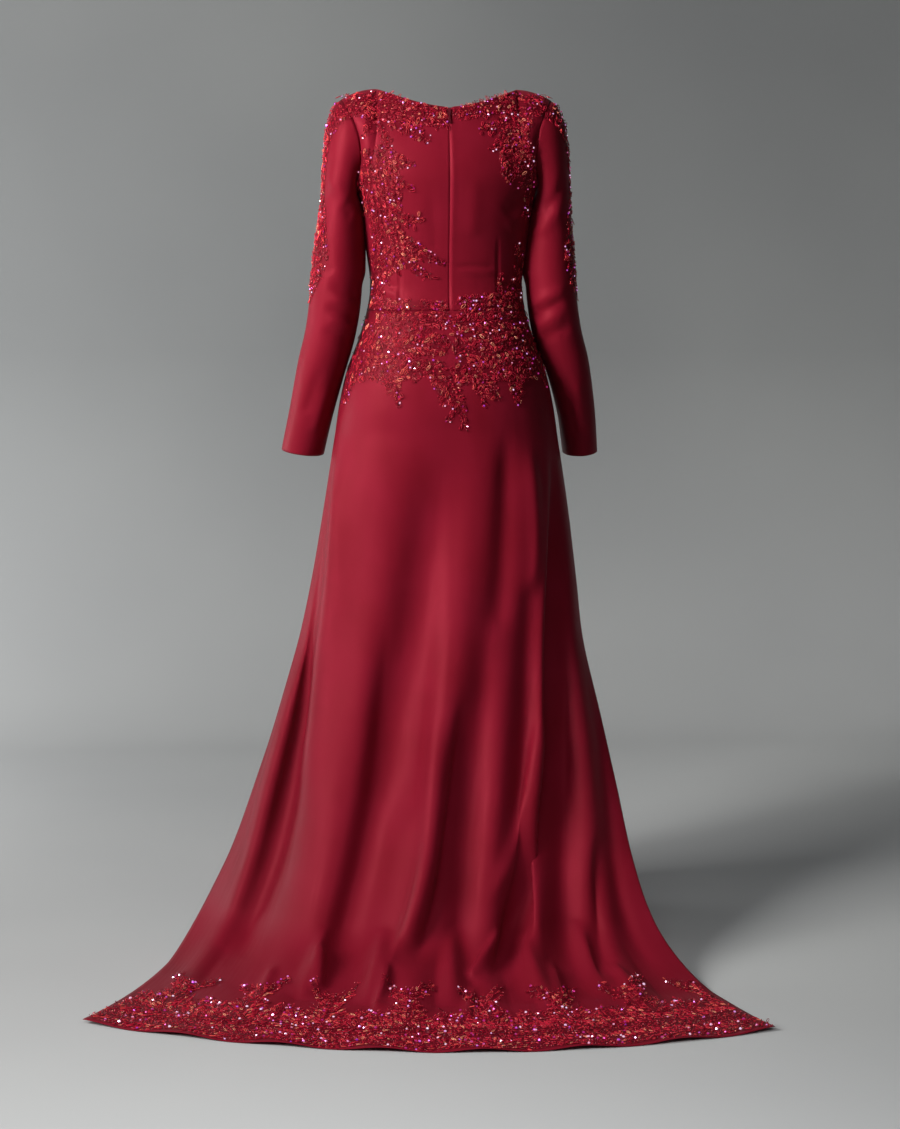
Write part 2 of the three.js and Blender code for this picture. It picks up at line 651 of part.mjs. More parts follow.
// A panel of cloth: its points, the direction the cloth faces at each, and its small faces.
function panelOf(rows, outward, isTube = false) {
  const columns = rows[0].length;
  const wrap = (column) =>
    isTube ? (column + columns) % columns : clamp(column, 0, columns - 1);
  const clampRow = (row) => clamp(row, 0, rows.length - 1);
  const points = [];
  const normals = [];
  rows.forEach((row, i) =>
    row.forEach((point, j) => {
      const along = rows[i][wrap(j + 1)].clone().sub(rows[i][wrap(j - 1)]);
      const down = rows[clampRow(i + 1)][j].clone().sub(rows[clampRow(i - 1)][j]);
      const normal = new THREE.Vector3().crossVectors(along, down).normalize();
      points.push(point);
      normals.push(normal);
    }),
  );
  if (normals.reduce((sum, n, i) => sum + n.dot(outward(points[i])), 0) < 0)
    normals.forEach((normal) => normal.negate());
  const faces = [];
  for (let i = 0; i < rows.length - 1; i += 1)
    for (let j = 0; j < (isTube ? columns : columns - 1); j += 1) {
      const a = i * columns + j;
      const b = i * columns + wrap(j + 1);
      const c = b + columns;
      const d = a + columns;
      if ((i + j) % 2) faces.push([c, a, b], [a, c, d]);
      else faces.push([b, d, a], [d, b, c]);
    }
  return { points, normals, faces };
}

// A closed wall between two offsets of a panel's points. raise adds to the outer offset at each point.
function wallGeometry(panel, inner, outer, raise = () => 0) {
  const count = panel.points.length;
  const position = [];
  for (const [offset, lifted] of [[inner, false], [outer, true]])
    panel.points.forEach((point, i) => {
      const lift = offset + (lifted ? raise(point) : 0);
      position.push(...point.clone().addScaledVector(panel.normals[i], lift).toArray());
    });
  const edges = new Map();
  const index = [];
  for (const [a, b, c] of panel.faces) {
    index.push(a, c, b, a + count, b + count, c + count);
    for (const [from, to] of [[a, b], [b, c], [c, a]])
      if (!edges.delete(`${to},${from}`)) edges.set(`${from},${to}`, [from, to]);
  }
  for (const [from, to] of edges.values())
    index.push(from, to, to + count, from, to + count, from + count);
  if (signedVolume(position, index) < 0)
    for (let i = 0; i < index.length; i += 3) [index[i + 1], index[i + 2]] = [index[i + 2], index[i + 1]];
  const geometry = new THREE.BufferGeometry();
  geometry.setAttribute("position", new THREE.Float32BufferAttribute(position, 3));
  geometry.setIndex(index);
  geometry.computeVertexNormals();
  return geometry;
}

function signedVolume(position, index) {
  const corner = (i) => new THREE.Vector3().fromArray(position, 3 * index[i]);
  let sum = 0;
  for (let i = 0; i < index.length; i += 3) sum += corner(i).dot(corner(i + 1).cross(corner(i + 2)));
  return sum;
}

function addMesh(name, geometry, material) {
  const mesh = new THREE.Mesh(geometry, material);
  mesh.name = name;
  garment.add(mesh);
  return mesh;
}

const addCloth = (name, panel) =>
  addMesh(name, wallGeometry(panel, -CLOTH / 2, CLOTH / 2), satin);

// Each face of a panel cut in two across its first edge, which is the diagonal, on the same flat faces.
function finer(panel) {
  const points = [...panel.points];
  const normals = [...panel.normals];
  const halfway = new Map();
  const faces = panel.faces.flatMap((face) => {
    const [a, b, c] = face;
    const key = a < b ? `${a},${b}` : `${b},${a}`;
    if (!halfway.has(key)) {
      halfway.set(key, points.length);
      points.push(points[a].clone().lerp(points[b], 0.5));
      normals.push(normals[a].clone().lerp(normals[b], 0.5));
    }
    const middle = halfway.get(key);
    return [[a, middle, c], [middle, b, c]];
  });
  return { points, normals, faces };
}

// The part of a panel where the field is above 0, cut along the line where it is 0, in one piece.
function cutOut(panel, field) {
  const value = panel.points.map(field);
  const points = [];
  const normals = [];
  const kept = new Map();
  const corner = (i) => {
    if (!kept.has(`${i}`)) {
      kept.set(`${i}`, points.length);
      points.push(panel.points[i]);
      normals.push(panel.normals[i]);
    }
    return kept.get(`${i}`);
  };
  const crossing = (i, j) => {
    const [a, b] = i < j ? [i, j] : [j, i];
    const key = `${a},${b}`;
    if (!kept.has(key)) {
      const share = clamp(value[a] / (value[a] - value[b]), CUT_CLEAR, 1 - CUT_CLEAR);
      kept.set(key, points.length);
      points.push(panel.points[a].clone().lerp(panel.points[b], share));
      normals.push(panel.normals[a].clone().lerp(panel.normals[b], share));
    }
    return kept.get(key);
  };
  const faces = [];
  for (const face of panel.faces) {
    const outline = [];
    face.forEach((i, k) => {
      const next = face[(k + 1) % 3];
      if (value[i] > 0) outline.push(corner(i));
      if (value[i] > 0 !== value[next] > 0) outline.push(crossing(i, next));
    });
    for (let k = 1; k < outline.length - 1; k += 1) faces.push([outline[0], outline[k], outline[k + 1]]);
  }
  return { points, normals, faces: largestPart(faces) };
}

// The largest group of faces that hang together.
function largestPart(faces) {
  const parent = new Map();
  const root = (i) => {
    while ((parent.get(i) ?? i) !== i) i = parent.get(i);
    return i;
  };
  for (const [a, b, c] of faces)
    for (const other of [b, c]) if (root(a) !== root(other)) parent.set(root(other), root(a));
  const groups = new Map();
  for (const face of faces) {
    const key = root(face[0]);
    if (!groups.has(key)) groups.set(key, []);
    groups.get(key).push(face);
  }
  return [...groups.values()].sort((a, b) => b.length - a.length)[0];
}

// How far a point is inside a group of sprays, with petals rippling their edges.
function sprayField(sprays) {
  return (point) => {
    const height = point.z + SHOULDER_LINE;
    let best = -Infinity;
    for (const spray of sprays) {
      const alongX = spray.x1 - spray.x0;
      const alongZ = spray.z1 - spray.z0;
      const length = alongX * alongX + alongZ * alongZ;
      const dot = (point.x - spray.x0) * alongX + (height - spray.z0) * alongZ;
      const t = clamp(dot / length, 0, 1);
      const away = Math.hypot(point.x - spray.x0 - alongX * t, height - spray.z0 - alongZ * t);
      const petals = Math.sin((t * Math.sqrt(length) * 2 * Math.PI) / LACE_RIPPLE.length);
      best = Math.max(best, mix(spray.from, spray.to, t) - away + LACE_RIPPLE.depth * petals);
    }
    return best;
  };
}

const petalRelief = (point) => {
  const across = Math.sin(point.x / RELIEF_STEP.across);
  const down = Math.sin((point.z + point.y) / RELIEF_STEP.down);
  return (LACE_RELIEF * (2 + across + down)) / 4;
};

function addLace(name, panel, field) {
  const inner = CLOTH / 2 + SEAM_GAP;
  const cut = cutOut(panel, field);
  addMesh(name, wallGeometry(compact(cut), inner, inner + LACE, petalRelief), lace);
}

// Only the points that the faces use.
function compact({ points, normals, faces }) {
  const used = [...new Set(faces.flat())];
  const place = new Map(used.map((old, i) => [old, i]));
  return {
    points: used.map((i) => points[i]),
    normals: used.map((i) => normals[i]),
    faces: faces.map((face) => face.map((i) => place.get(i))),
  };
}

// Bodice.
const fromAxis = (point) => new THREE.Vector3(point.x, point.y, 0);
const up = () => new THREE.Vector3(0, 1, 1);
const backRows = bodiceRows(true, BACK_COLUMNS, SEAM_GAP);
const backLeft = panelOf(backRows, fromAxis);
const backRight = panelOf(mirroredRows(backRows), fromAxis);
const frontHalf = bodiceRows(false, FRONT_BODICE_COLUMNS, 0);
const frontRows = frontHalf.map((row) => [...row.slice(1).reverse().map(mirrored), ...row]);
const front = panelOf(frontRows, fromAxis);
addCloth("bodice_back_left", backLeft);
addCloth("bodice_back_right", backRight);
addCloth("bodice_front", front);

// Skirt panels.
const train = panelOf(trainRows(), up);
const frontSkirt = panelOf(frontSkirtRows(), fromAxis);
addCloth("skirt_back", train);
addCloth("skirt_front", frontSkirt);

// Sleeves.
const fromArm = (table, side) => {
  const arm = smoothSleeve(table);
  return (point) => {
    const height = clamp(point.z + SHOULDER_LINE, table[table.length - 1].height, table[0].height);
    return new THREE.Vector3(point.x - side * arm.x(height), point.y - arm.y(height), 0);
  };
};
const sleeveLeft = panelOf(sleeveRows(SLEEVE_LEFT), fromArm(SLEEVE_LEFT, 1), true);
const sleeveRight = panelOf(mirroredRows(sleeveRows(SLEEVE_RIGHT)), fromArm(SLEEVE_RIGHT, -1), true);
addCloth("sleeve_left", sleeveLeft);
addCloth("sleeve_right", sleeveRight);

// Lace.
const ARMHOLE_STEPS = 40;
const HEM_STEPS = 120;
const armholeSamples = columnsOf(ARMHOLE_STEPS, (share) => armholePoint(2 * Math.PI * share));
const clearOfArmhole = (point) => {
  const left = new THREE.Vector3(Math.abs(point.x), point.y, point.z);
  return Math.min(...armholeSamples.map((sample) => sample.distanceTo(left))) - SEAM_MARGIN;
};
const clearOfSeams = (point) =>
  Math.min(
    Math.abs(point.x) - LACE_MARGIN,
    point.z + SHOULDER_LINE - WAIST_SEAM - LACE_MARGIN,
    clearOfArmhole(point),
  );
const onBodice = (sprays) => {
  const inside = sprayField(sprays);
  return (point) => Math.min(inside(point), clearOfSeams(point));
};
addLace("lace_back_left", finer(backLeft), onBodice(LACE_BACK_LEFT));
addLace("lace_back_right", finer(backRight), onBodice(LACE_BACK_RIGHT));
addLace("lace_waist_right", finer(backRight), onBodice(LACE_WAIST_RIGHT));
addLace("lace_front_left", front, onBodice(LACE_FRONT_SHOULDER));
const frontSprays = sprayField(LACE_FRONT_SHOULDER);
addLace("lace_front_right", front, (point) =>
  Math.min(frontSprays(mirrored(point)), clearOfSeams(point)),
);

const arms = [smoothSleeve(SLEEVE_RIGHT), smoothSleeve(SLEEVE_LEFT)];
const clearOfSleeve = (point) => {
  const height = point.z + SHOULDER_LINE;
  const arm = arms[point.x > 0 ? 1 : 0];
  const across = (Math.abs(point.x) - arm.x(height)) / arm.wide(height);
  const along = (point.y - arm.y(height)) / arm.deep(height);
  return (Math.hypot(across, along) - 1) * arm.wide(height) - SLEEVE_MARGIN;
};
const onHip = (sprays) => {
  const inside = sprayField(sprays);
  return (point) => {
    const height = point.z + SHOULDER_LINE;
    const inPanel = Math.min(
      WAIST_SEAM - HIP_MARGIN - height,
      Math.abs(point.y) - HIP_MARGIN,
      height - SLIT_TOP,
    );
    return Math.min(inside(point), inPanel, clearOfSleeve(point));
  };
};
addLace("lace_hip_back", train, onHip(LACE_HIP));
addLace("lace_hip_front", frontSkirt, onHip(LACE_HIP_FRONT));

const sleeveMiddle = smooth(LACE_SLEEVE, "height", "middle");
const sleeveSpread = smooth(LACE_SLEEVE, "height", "spread");
const onSleeve = (table, side) => (point) => {
  const height = point.z + SHOULDER_LINE;
  const middle = smoothSleeve(table).centre(Math.min(height, table[0].height));
  const angle = Math.atan2(point.y - middle.y, side * point.x - middle.x);
  const away = Math.abs(THREE.MathUtils.radToDeg(angle) - sleeveMiddle(height));
  const low = height - LACE_SLEEVE[LACE_SLEEVE.length - 1].height;
  const left = new THREE.Vector3(side * point.x, point.y, point.z);
  const clear = Math.min(...armholeSamples.map((sample) => sample.distanceTo(left))) - ARMHOLE_MARGIN;
  return Math.min(DEGREE * (sleeveSpread(height) - away), low, clear);
};
addLace("lace_sleeve_left", sleeveLeft, onSleeve(SLEEVE_LEFT, 1));
addLace("lace_sleeve_right", sleeveRight, onSleeve(SLEEVE_RIGHT, -1));

// The hem's curve as points with their length along it, middle at 0.
const hemCurve = acrossOf(HEM_STEPS, (across) => ({ x: hemX(across), y: hemY(across) }));
hemCurve.forEach((spot, i) => {
  const before = hemCurve[Math.max(i - 1, 0)];
  spot.length = (before.length ?? 0) + Math.hypot(spot.x - before.x, spot.y - before.y);
});
const hemLength = hemCurve[hemCurve.length - 1].length;
addLace("lace_hem", train, (point) => {
  if (point.z + SHOULDER_LINE > HEM_LACE.top) return -1;
  let nearest = hemCurve[0];
  let away = Infinity;
  for (const spot of hemCurve) {
    const distance = Math.hypot(point.x - spot.x, point.y - spot.y);
    if (distance < away) [nearest, away] = [spot, distance];
  }
  const phase = ((nearest.length - hemLength / 2) / HEM_LACE.repeat) * 2 * Math.PI;
  const scallop = HEM_LACE.depth + HEM_LACE.swell * Math.cos(phase);
  return scallop - away;
});

// Zip tape, behind both edges of the back opening.
const tapeRows = backRows.map((row) => {
  const side = row[1];
  return [mirrored(side), new THREE.Vector3(0, row[0].y, row[0].z), side.clone()];
});
const tapePanel = panelOf(tapeRows, fromAxis);
const tapeFace = -CLOTH / 2 - SEAM_GAP;
addMesh("zip_tape", wallGeometry(tapePanel, tapeFace - ZIP_TAPE, tapeFace), tape);

// A plain mesh as a solid, and a solid as a mesh.
function solidOf(geometry) {
  const merged = mergeVertices(new THREE.BufferGeometry()
    .setAttribute("position", geometry.toNonIndexed().getAttribute("position")), 1e-4);
  return new wasm.Manifold(
    new wasm.Mesh({
      numProp: 3,
      vertProperties: merged.attributes.position.array,
      triVerts: new Uint32Array(merged.index.array),
    }),
  );
}

function geometryOf(solid) {
  const made = solid.getMesh();
  const geometry = new THREE.BufferGeometry();
  geometry.setAttribute("position", new THREE.Float32BufferAttribute(made.vertProperties, 3));
  geometry.setIndex([...made.triVerts]);
  geometry.computeVertexNormals();
  return geometry;
}

// Zip slider and pull. Their own frame: x across, y out from the cloth, z up it, from the pin's centre.
const box = (wide, deep, high, x, y, z) =>
  new THREE.BoxGeometry(wide, deep, high).translate(x, y, z);
const rod = (radius, length) =>
  new THREE.CylinderGeometry(radius, radius, length, 16).rotateZ(quarter);

function sliderGeometry() {
  const { wide, long, thick, earWide, earGap, earOver, pinRadius, pinOut, pinBelow } = SLIDER;
  const plateMiddle = thick / 2 - pinOut;
  const earLong = pinBelow + 2 * pinRadius + earOver;
  const earX = (earGap + earWide) / 2;
  const earMiddle = [plateMiddle + pinRadius / 2, pinBelow - earLong / 2 + earOver];
  const parts = [
    box(wide, thick, long, 0, plateMiddle, pinBelow + long / 2),
    box(earWide, thick + pinRadius, earLong, earX, ...earMiddle),
    box(earWide, thick + pinRadius, earLong, -earX, ...earMiddle),
    rod(pinRadius, earGap + earWide),
  ];
  return geometryOf(wasm.Manifold.union(parts.map(solidOf)));
}

function pullGeometry() {
  const { eyeRadius, holeRadius, wide, tipWide, long, thick } = PULL;
  const slab = new THREE.BoxGeometry(1, thick, long - 1, 1, 1, 1).translate(0, 0, -(long + 1) / 2);
  const spots = slab.getAttribute("position");
  for (let i = 0; i < spots.count; i += 1)
    spots.setX(i, spots.getX(i) * (spots.getZ(i) < -long / 2 ? tipWide : wide));
  const body = solidOf(rod(eyeRadius, wide)).add(solidOf(slab));
  return geometryOf(body.subtract(solidOf(rod(holeRadius, wide * 2))));
}

const backCentre = (height) => {
  const climb = (height - ARMPIT) / (BACK_NECK - ARMPIT);
  return upperBodicePoint(0, climb, true);
};
const pinSpot = backCentre(SLIDER.height);
const climbing = backCentre(SLIDER.height + SLIDER.above)
  .sub(backCentre(SLIDER.height - SLIDER.below))
  .normalize();
const lean = Math.atan2(-climbing.y, climbing.z);
const outward = new THREE.Vector3(0, Math.cos(lean), Math.sin(lean));
pinSpot.addScaledVector(outward, CLOTH / 2 + SEAM_GAP + SLIDER.pinOut);
for (const [name, geometry] of [["zip_slider", sliderGeometry()], ["zip_pull", pullGeometry()]])
  addMesh(name, geometry.rotateX(lean).translate(0, pinSpot.y, pinSpot.z), metal);

export default garment;
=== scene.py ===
"""A long-sleeved ao dai tunic in wine-red satin crepe with corded and beaded lace, over its solid parts.

Sizes in the tables are millimetres, with heights above the floor. Meshes are in metres, with the origin in
the middle of the neck opening on the shoulder line. The front faces -Y and the wearer's left is +X.
"""

import math

import bpy
import numpy as np
from mathutils import Matrix, Vector, kdtree


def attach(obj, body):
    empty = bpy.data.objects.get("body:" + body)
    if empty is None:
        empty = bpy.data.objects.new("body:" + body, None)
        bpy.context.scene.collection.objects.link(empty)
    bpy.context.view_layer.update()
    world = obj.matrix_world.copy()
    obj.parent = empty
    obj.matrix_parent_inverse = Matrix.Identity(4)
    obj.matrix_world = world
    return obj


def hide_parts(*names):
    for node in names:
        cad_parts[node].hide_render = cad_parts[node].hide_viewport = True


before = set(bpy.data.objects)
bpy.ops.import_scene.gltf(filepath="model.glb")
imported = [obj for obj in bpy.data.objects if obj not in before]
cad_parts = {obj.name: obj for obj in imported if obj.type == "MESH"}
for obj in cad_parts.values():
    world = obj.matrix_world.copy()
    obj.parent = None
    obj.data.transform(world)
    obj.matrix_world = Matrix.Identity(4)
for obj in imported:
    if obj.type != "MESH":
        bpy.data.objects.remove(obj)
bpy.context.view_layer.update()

# Sizes of the garment.

SHOULDER_LINE = 1425
NECK_POINT = 1432
SHOULDER_TIP = 1414
BACK_NECK = 1400
FRONT_NECK = 1384
ARMPIT = 1272
WAIST_SEAM = 1062
SLIT_TOP = 860
FRONT_HEM = 20
BEND_START = 85
LAND_SHARE = 0.3
SQUARENESS = 2.3
NECK_HALF, NECK_BACK, NECK_FRONT = 118, 62, 76
SHOULDER_HALF = 178
NECK_SHARE = 0.64
NECK_ROUNDING = 1.6
ARMHOLE_TOP_X, ARMHOLE_BOTTOM_X, ARMHOLE_CUT, ARMHOLE_BACK, ARMHOLE_FRONT = 178, 154, 18, 58, 52
# How far below the armpit the bodice's slope is taken, and how that slope and the one at the top edge blend:
# the foot's share across, then depth and rise at the neckline and at the shoulder seam.
SLOPE_STEP = 10
FOOT_ACROSS, HEAD_DEPTH, HEAD_RISE = 0.4, (66, 150), (0.85, 0.35)

# The cloth's two faces and the seat of its lace, measured out from the middle of the solid wall.
CLOTH_INNER, CLOTH_OUTER = 0.1, 0.8
LACE_SEAT = 0.9

# height, half width, depth behind the axis, depth before it
TORSO = [
    (860, 189, 137, 113), (905, 182, 136, 115), (960, 169, 127, 116), (1010, 150, 110, 112),
    (1060, 135, 92, 104), (1105, 128, 83, 98), (1160, 131, 88, 110), (1215, 138, 97, 129),
    (1272, 154, 104, 116),
]
# height, centre x and y, half width across and half depth
SLEEVE_LEFT = [
    (1226, 179, 2, 35, 52), (1150, 184, 4, 41, 50), (1076, 190, 6, 43, 48), (1020, 199, 2, 42, 46),
    (967, 213, -6, 40.5, 44), (888, 231, -22, 37, 40), (818, 246, -38, 36, 37),
]
SLEEVE_RIGHT = [
    (1226, 178, 2, 34, 52), (1150, 177, 4, 41, 50), (1076, 182, 6, 42, 48), (1020, 192, 2, 41, 47),
    (967, 210, -6, 37, 46), (888, 228, -24, 32, 43), (815, 238, -42, 29.5, 42),
]
# height, then x and y of the back panel's left edge, middle and right edge
HANG = [
    (860, 189, 0, 0, 137, -189, 0), (720, 213, 36, 2, 152, -210, 12), (600, 235, 53, 6, 178, -222, 38),
    (500, 258, 68, 10, 207, -230, 72), (380, 292, 86, 17, 250, -253, 129),
    (270, 331, 102, 25, 294, -272, 196), (160, 373, 118, 35, 350, -289, 279),
    (80, 413, 130, 43, 398, -312, 350), (0, 455, 142, 50, 450, -362, 430),
]
# x and y of the train's hem at the wearer's right corner, the middle and the left corner
HEM_X = (-440, 78, 597)
HEM_Y = (694, 757, 578)
EDGE_BOW = 20
# Height of the small waves along the hem, and how close they come.
HEM_WAVE, HEM_WAVE_TURNS = 3, 22
# How a fold wanders across the cloth on its way down, where it is full, and what is left of it on the floor.
FOLD_DRIFT, FOLD_GROWN, RIPPLE_LEFT = 0.8, 0.7, 0.8
# Where the back panel goes from the hip's round section to a slack one, as shares of the way down.
SLACK_FROM, SLACK_TO = -0.1, 1.1
# The step that slopes on the train are taken over, and how softly it comes to the floor.
TRAIN_STEP, LANDING_SOFTNESS = 0.02, 0.8
# The front panel at its hem: half width, depth at the slits and how much further out its middle hangs.
FRONT_HEM_HALF, FRONT_HEM_EDGE, FRONT_HEM_BELLY = 236, 34, 112
# How far off the armhole a sleeve cap starts, how much further under the arm, and the step for slopes along
# an arm are taken over.
CAP_START, UNDERARM_START, ARM_STEP = 0.6, 2.4, 8
# place across where a fold starts and where it meets the floor, height where it starts, depth, half width
TRAIN_FOLDS = [
    (0.93, 0.88, 800, 12, 0.05), (0.88, 0.75, 780, -17, 0.075), (0.6, 0.55, 560, 9, 0.11),
    (0.02, 0.36, 880, -22, 0.12), (-0.12, 0.1, 800, 16, 0.085), (-0.2, -0.07, 640, -18, 0.06),
    (-0.3, -0.2, 600, 9, 0.07), (-0.47, -0.32, 860, -13, 0.06), (-0.66, -0.4, 840, 18, 0.065),
    (-0.84, -0.53, 820, -24, 0.08), (-0.9, -0.72, 620, 14, 0.08), (-0.95, -0.84, 480, -10, 0.05),
]
# place across, height and half width of each short buckle at the floor line
FLOOR_BREAKS = [
    (0.47, 20, 0.04), (0.23, 26, 0.045), (-0.06, 24, 0.045), (-0.36, 16, 0.04), (-0.62, 18, 0.045),
]
FRONT_FOLDS = [
    (-0.75, -0.7, 800, 9, 0.1), (-0.4, -0.42, 760, -10, 0.12), (-0.05, -0.02, 780, 10, 0.13),
    (0.3, 0.36, 760, -10, 0.12), (0.7, 0.72, 800, 9, 0.1),
]

# Lace sprays: x and height where each starts, x and height of its tip, half width at both.
LACE_BACK_LEFT = [
    (171, 1405, 110, 1400, 20, 24), (120, 1404, 16, 1380, 25, 17), (95, 1384, 40, 1346, 22, 10),
    (128, 1384, 142, 1350, 12, 4), (140, 1312, 130, 1244, 20, 26), (112, 1372, 100, 1320, 9, 8),
    (112, 1312, 106, 1240, 25, 27), (106, 1310, 62, 1303, 18, 5), (104, 1270, 64, 1266, 17, 5),
    (110, 1240, 98, 1150, 27, 26), (102, 1210, 46, 1214, 20, 5), (100, 1180, 12, 1142, 26, 4),
    (108, 1150, 108, 1112, 22, 9), (82, 1150, 34, 1117, 14, 6), (122, 1120, 116, 1060, 10, 16),
    (118, 1070, 10, 1070, 15, 9),
]
LACE_BACK_RIGHT = [
    (-168, 1405, -60, 1402, 20, 20), (-60, 1398, -16, 1388, 18, 11), (-110, 1392, -104, 1300, 34, 22),
    (-100, 1368, -52, 1364, 18, 6), (-104, 1340, -66, 1330, 20, 5), (-104, 1320, -100, 1276, 20, 6),
    (-130, 1330, -140, 1308, 13, 7), (-139, 1302, -135, 1226, 9, 10), (-134, 1286, -116, 1268, 9, 4),
]
LACE_WAIST_RIGHT = [
    (-118, 1168, -120, 1100, 9, 12), (-118, 1110, -104, 1070, 14, 22), (-86, 1118, -92, 1076, 6, 10),
    (-92, 1076, -24, 1074, 18, 13),
]
LACE_HIP = [
    (122, 1046, 12, 1047, 26, 16), (150, 1000, 18, 1006, 30, 18), (168, 962, 22, 968, 22, 14),
    (168, 960, 176, 906, 16, 5), (104, 960, 88, 906, 18, 5), (70, 960, 62, 946, 12, 6),
    (30, 962, 16, 908, 12, 5), (-20, 1046, -118, 1048, 18, 22), (-16, 1024, -60, 1024, 13, 18),
    (-22, 1000, -146, 1000, 22, 28), (-26, 962, -164, 964, 22, 14), (8, 950, -24, 866, 20, 4),
    (-14, 900, 8, 882, 10, 6), (-44, 950, -52, 908, 16, 5), (-58, 950, -78, 916, 14, 4),
    (-108, 956, -112, 908, 18, 5), (-160, 960, -166, 934, 10, 4),
]
LACE_FRONT_SHOULDER = [
    (171, 1405, 118, 1392, 20, 22), (118, 1392, 70, 1366, 22, 10), (128, 1384, 112, 1320, 20, 6),
]
LACE_HIP_FRONT = [
    (-128, 1036, 128, 1036, 26, 26), (-152, 992, 152, 992, 26, 26), (-150, 975, -160, 912, 18, 5),
    (-84, 975, -80, 920, 20, 5), (0, 975, 0, 880, 26, 5), (84, 975, 80, 920, 20, 5),
    (150, 975, 160, 912, 18, 5),
]
# height, middle and half width in degrees round the arm from its outside toward the back
LACE_SLEEVE = [
    (1400, 8, 62), (1340, 0, 40), (1280, 0, 30), (1210, 8, 40), (1150, 14, 48), (1110, 14, 36),
    (1072, 8, 8),
]
SLEEVE_SPRAYS = [
    (6, 1398, 2, 1340, 40, 30), (2, 1340, 0, 1270, 28, 22), (0, 1275, 8, 1200, 22, 30),
    (8, 1205, 12, 1120, 32, 26), (12, 1130, 8, 1076, 22, 5), (20, 1190, 44, 1170, 12, 5),
    (16, 1150, 42, 1128, 12, 5), (-8, 1200, -24, 1178, 12, 5),
]
# The hem border's repeat, where a scallop is lowest, where its two pieces meet, and the repeats. A spray
# of the motif goes by its distance along the hem from the scallop's middle and in from the hem.
HEM_REPEAT, HEM_FIRST, HEM_SPLIT, HEM_NUMBERS = 146, 37, -36, range(-4, 5)
HEM_MOTIF = [
    (-74, 34, 74, 34, 32, 32), (-74, 96, 74, 96, 36, 36), (14, 110, 18, 168, 62, 38),
    (18, 168, 24, 232, 28, 16), (22, 205, -14, 268, 17, 10), (24, 212, 68, 256, 17, 10),
    (-46, 118, -50, 174, 32, 15), (62, 112, 72, 166, 28, 13),
]

# Creases laid into the train: depth, half width where each starts and ends, lean to one side, and its path as
# distance down the cloth from the waist seam and place across.
DRAPE = [
    (9, 26, 36, 0.3, [(160, 0.83), (430, 0.72), (670, 0.73), (860, 0.72)]),
    (11, 20, 36, 0.2, [(560, 0.96), (880, 0.9), (1030, 0.87), (1140, 0.86)]),
    (-17, 18, 34, -0.2, [(520, 0.84), (730, 0.79), (880, 0.78), (1020, 0.79), (1180, 0.8)]),
    (-12, 34, 32, -0.2, [(180, 0.0), (315, 0.06), (520, 0.12), (720, 0.15), (900, 0.2)]),
    (-17, 36, 40, 0.25, [(480, 0.29), (800, 0.31), (917, 0.35), (1040, 0.39), (1160, 0.4)]),
    (12, 18, 22, 0.3, [(860, 0.04), (1020, 0.11), (1110, 0.18), (1170, 0.2)]),
    (8, 16, 20, 0, [(660, 0.06), (865, 0.05), (1020, 0.09), (1070, 0.14)]),
    (-17, 17, 22, 0.2, [(620, -0.07), (830, -0.04), (950, 0.0), (1040, 0.06), (1120, 0.15)]),
    (-9, 16, 20, 0, [(190, -0.29), (350, -0.26), (560, -0.22)]),
    (9, 15, 20, 0, [(220, -0.45), (415, -0.45), (500, -0.41)]),
    (11, 18, 24, 0.3, [(660, -0.5), (820, -0.41), (917, -0.32), (1000, -0.23)]),
    (-25, 18, 28, 0.2, [
        (200, -0.72), (355, -0.66), (630, -0.57), (765, -0.54), (880, -0.47), (1016, -0.35), (1094, -0.26),
        (1190, -0.19),
    ]),
    (-13, 16, 22, 0, [(880, -0.82), (1040, -0.72), (1190, -0.61)]),
    (11, 9, 11, 0.3, [(1080, 0.47), (1130, 0.455), (1195, 0.43)]),
    (12, 8, 11, 0.3, [(1120, 0.2), (1190, 0.2), (1255, 0.2)]),
    (9, 8, 10, -0.2, [(1150, -0.15), (1220, -0.12), (1300, -0.1)]),
    (11, 9, 11, 0.3, [(1030, -0.27), (1090, -0.19), (1150, -0.11)]),
    (10, 8, 11, 0.2, [(1100, -0.455), (1170, -0.445), (1250, -0.44)]),
    (10, 9, 12, 0.2, [(1120, -0.7), (1190, -0.7), (1280, -0.7)]),
    (8, 8, 10, 0, [(1130, 0.62), (1190, 0.61), (1250, 0.6)]),
]
# Darts, pulls and creases of the bodice's back: depth, half width, and path in x and height.
BACK_CREASES = [
    (-1.7, 2.6, [(83, 1142), (84, 1064)]), (-1.9, 2.6, [(-81, 1194), (-82, 1064)]),
    (-1.6, 4, [(-5, 1137), (-79, 1135)]), (1.2, 6, [(-5, 1127), (-77, 1126)]),
    (-2.2, 5, [(134, 1119), (86, 1098)]), (2.0, 6, [(132, 1105), (78, 1084)]),
    (-2.0, 5, [(131, 1090), (90, 1076)]), (-2.0, 6, [(-132, 1114), (-94, 1097)]),
    (1.8, 6, [(-130, 1098), (-88, 1084)]), (2.4, 14, [(140, 1268), (92, 1236)]),
    (-2.2, 12, [(-142, 1262), (-90, 1222)]), (1.6, 10, [(-138, 1240), (-96, 1196)]),
    (-1.4, 12, [(30, 1256), (24, 1150)]), (1.4, 12, [(-40, 1290), (-36, 1180)]),
]
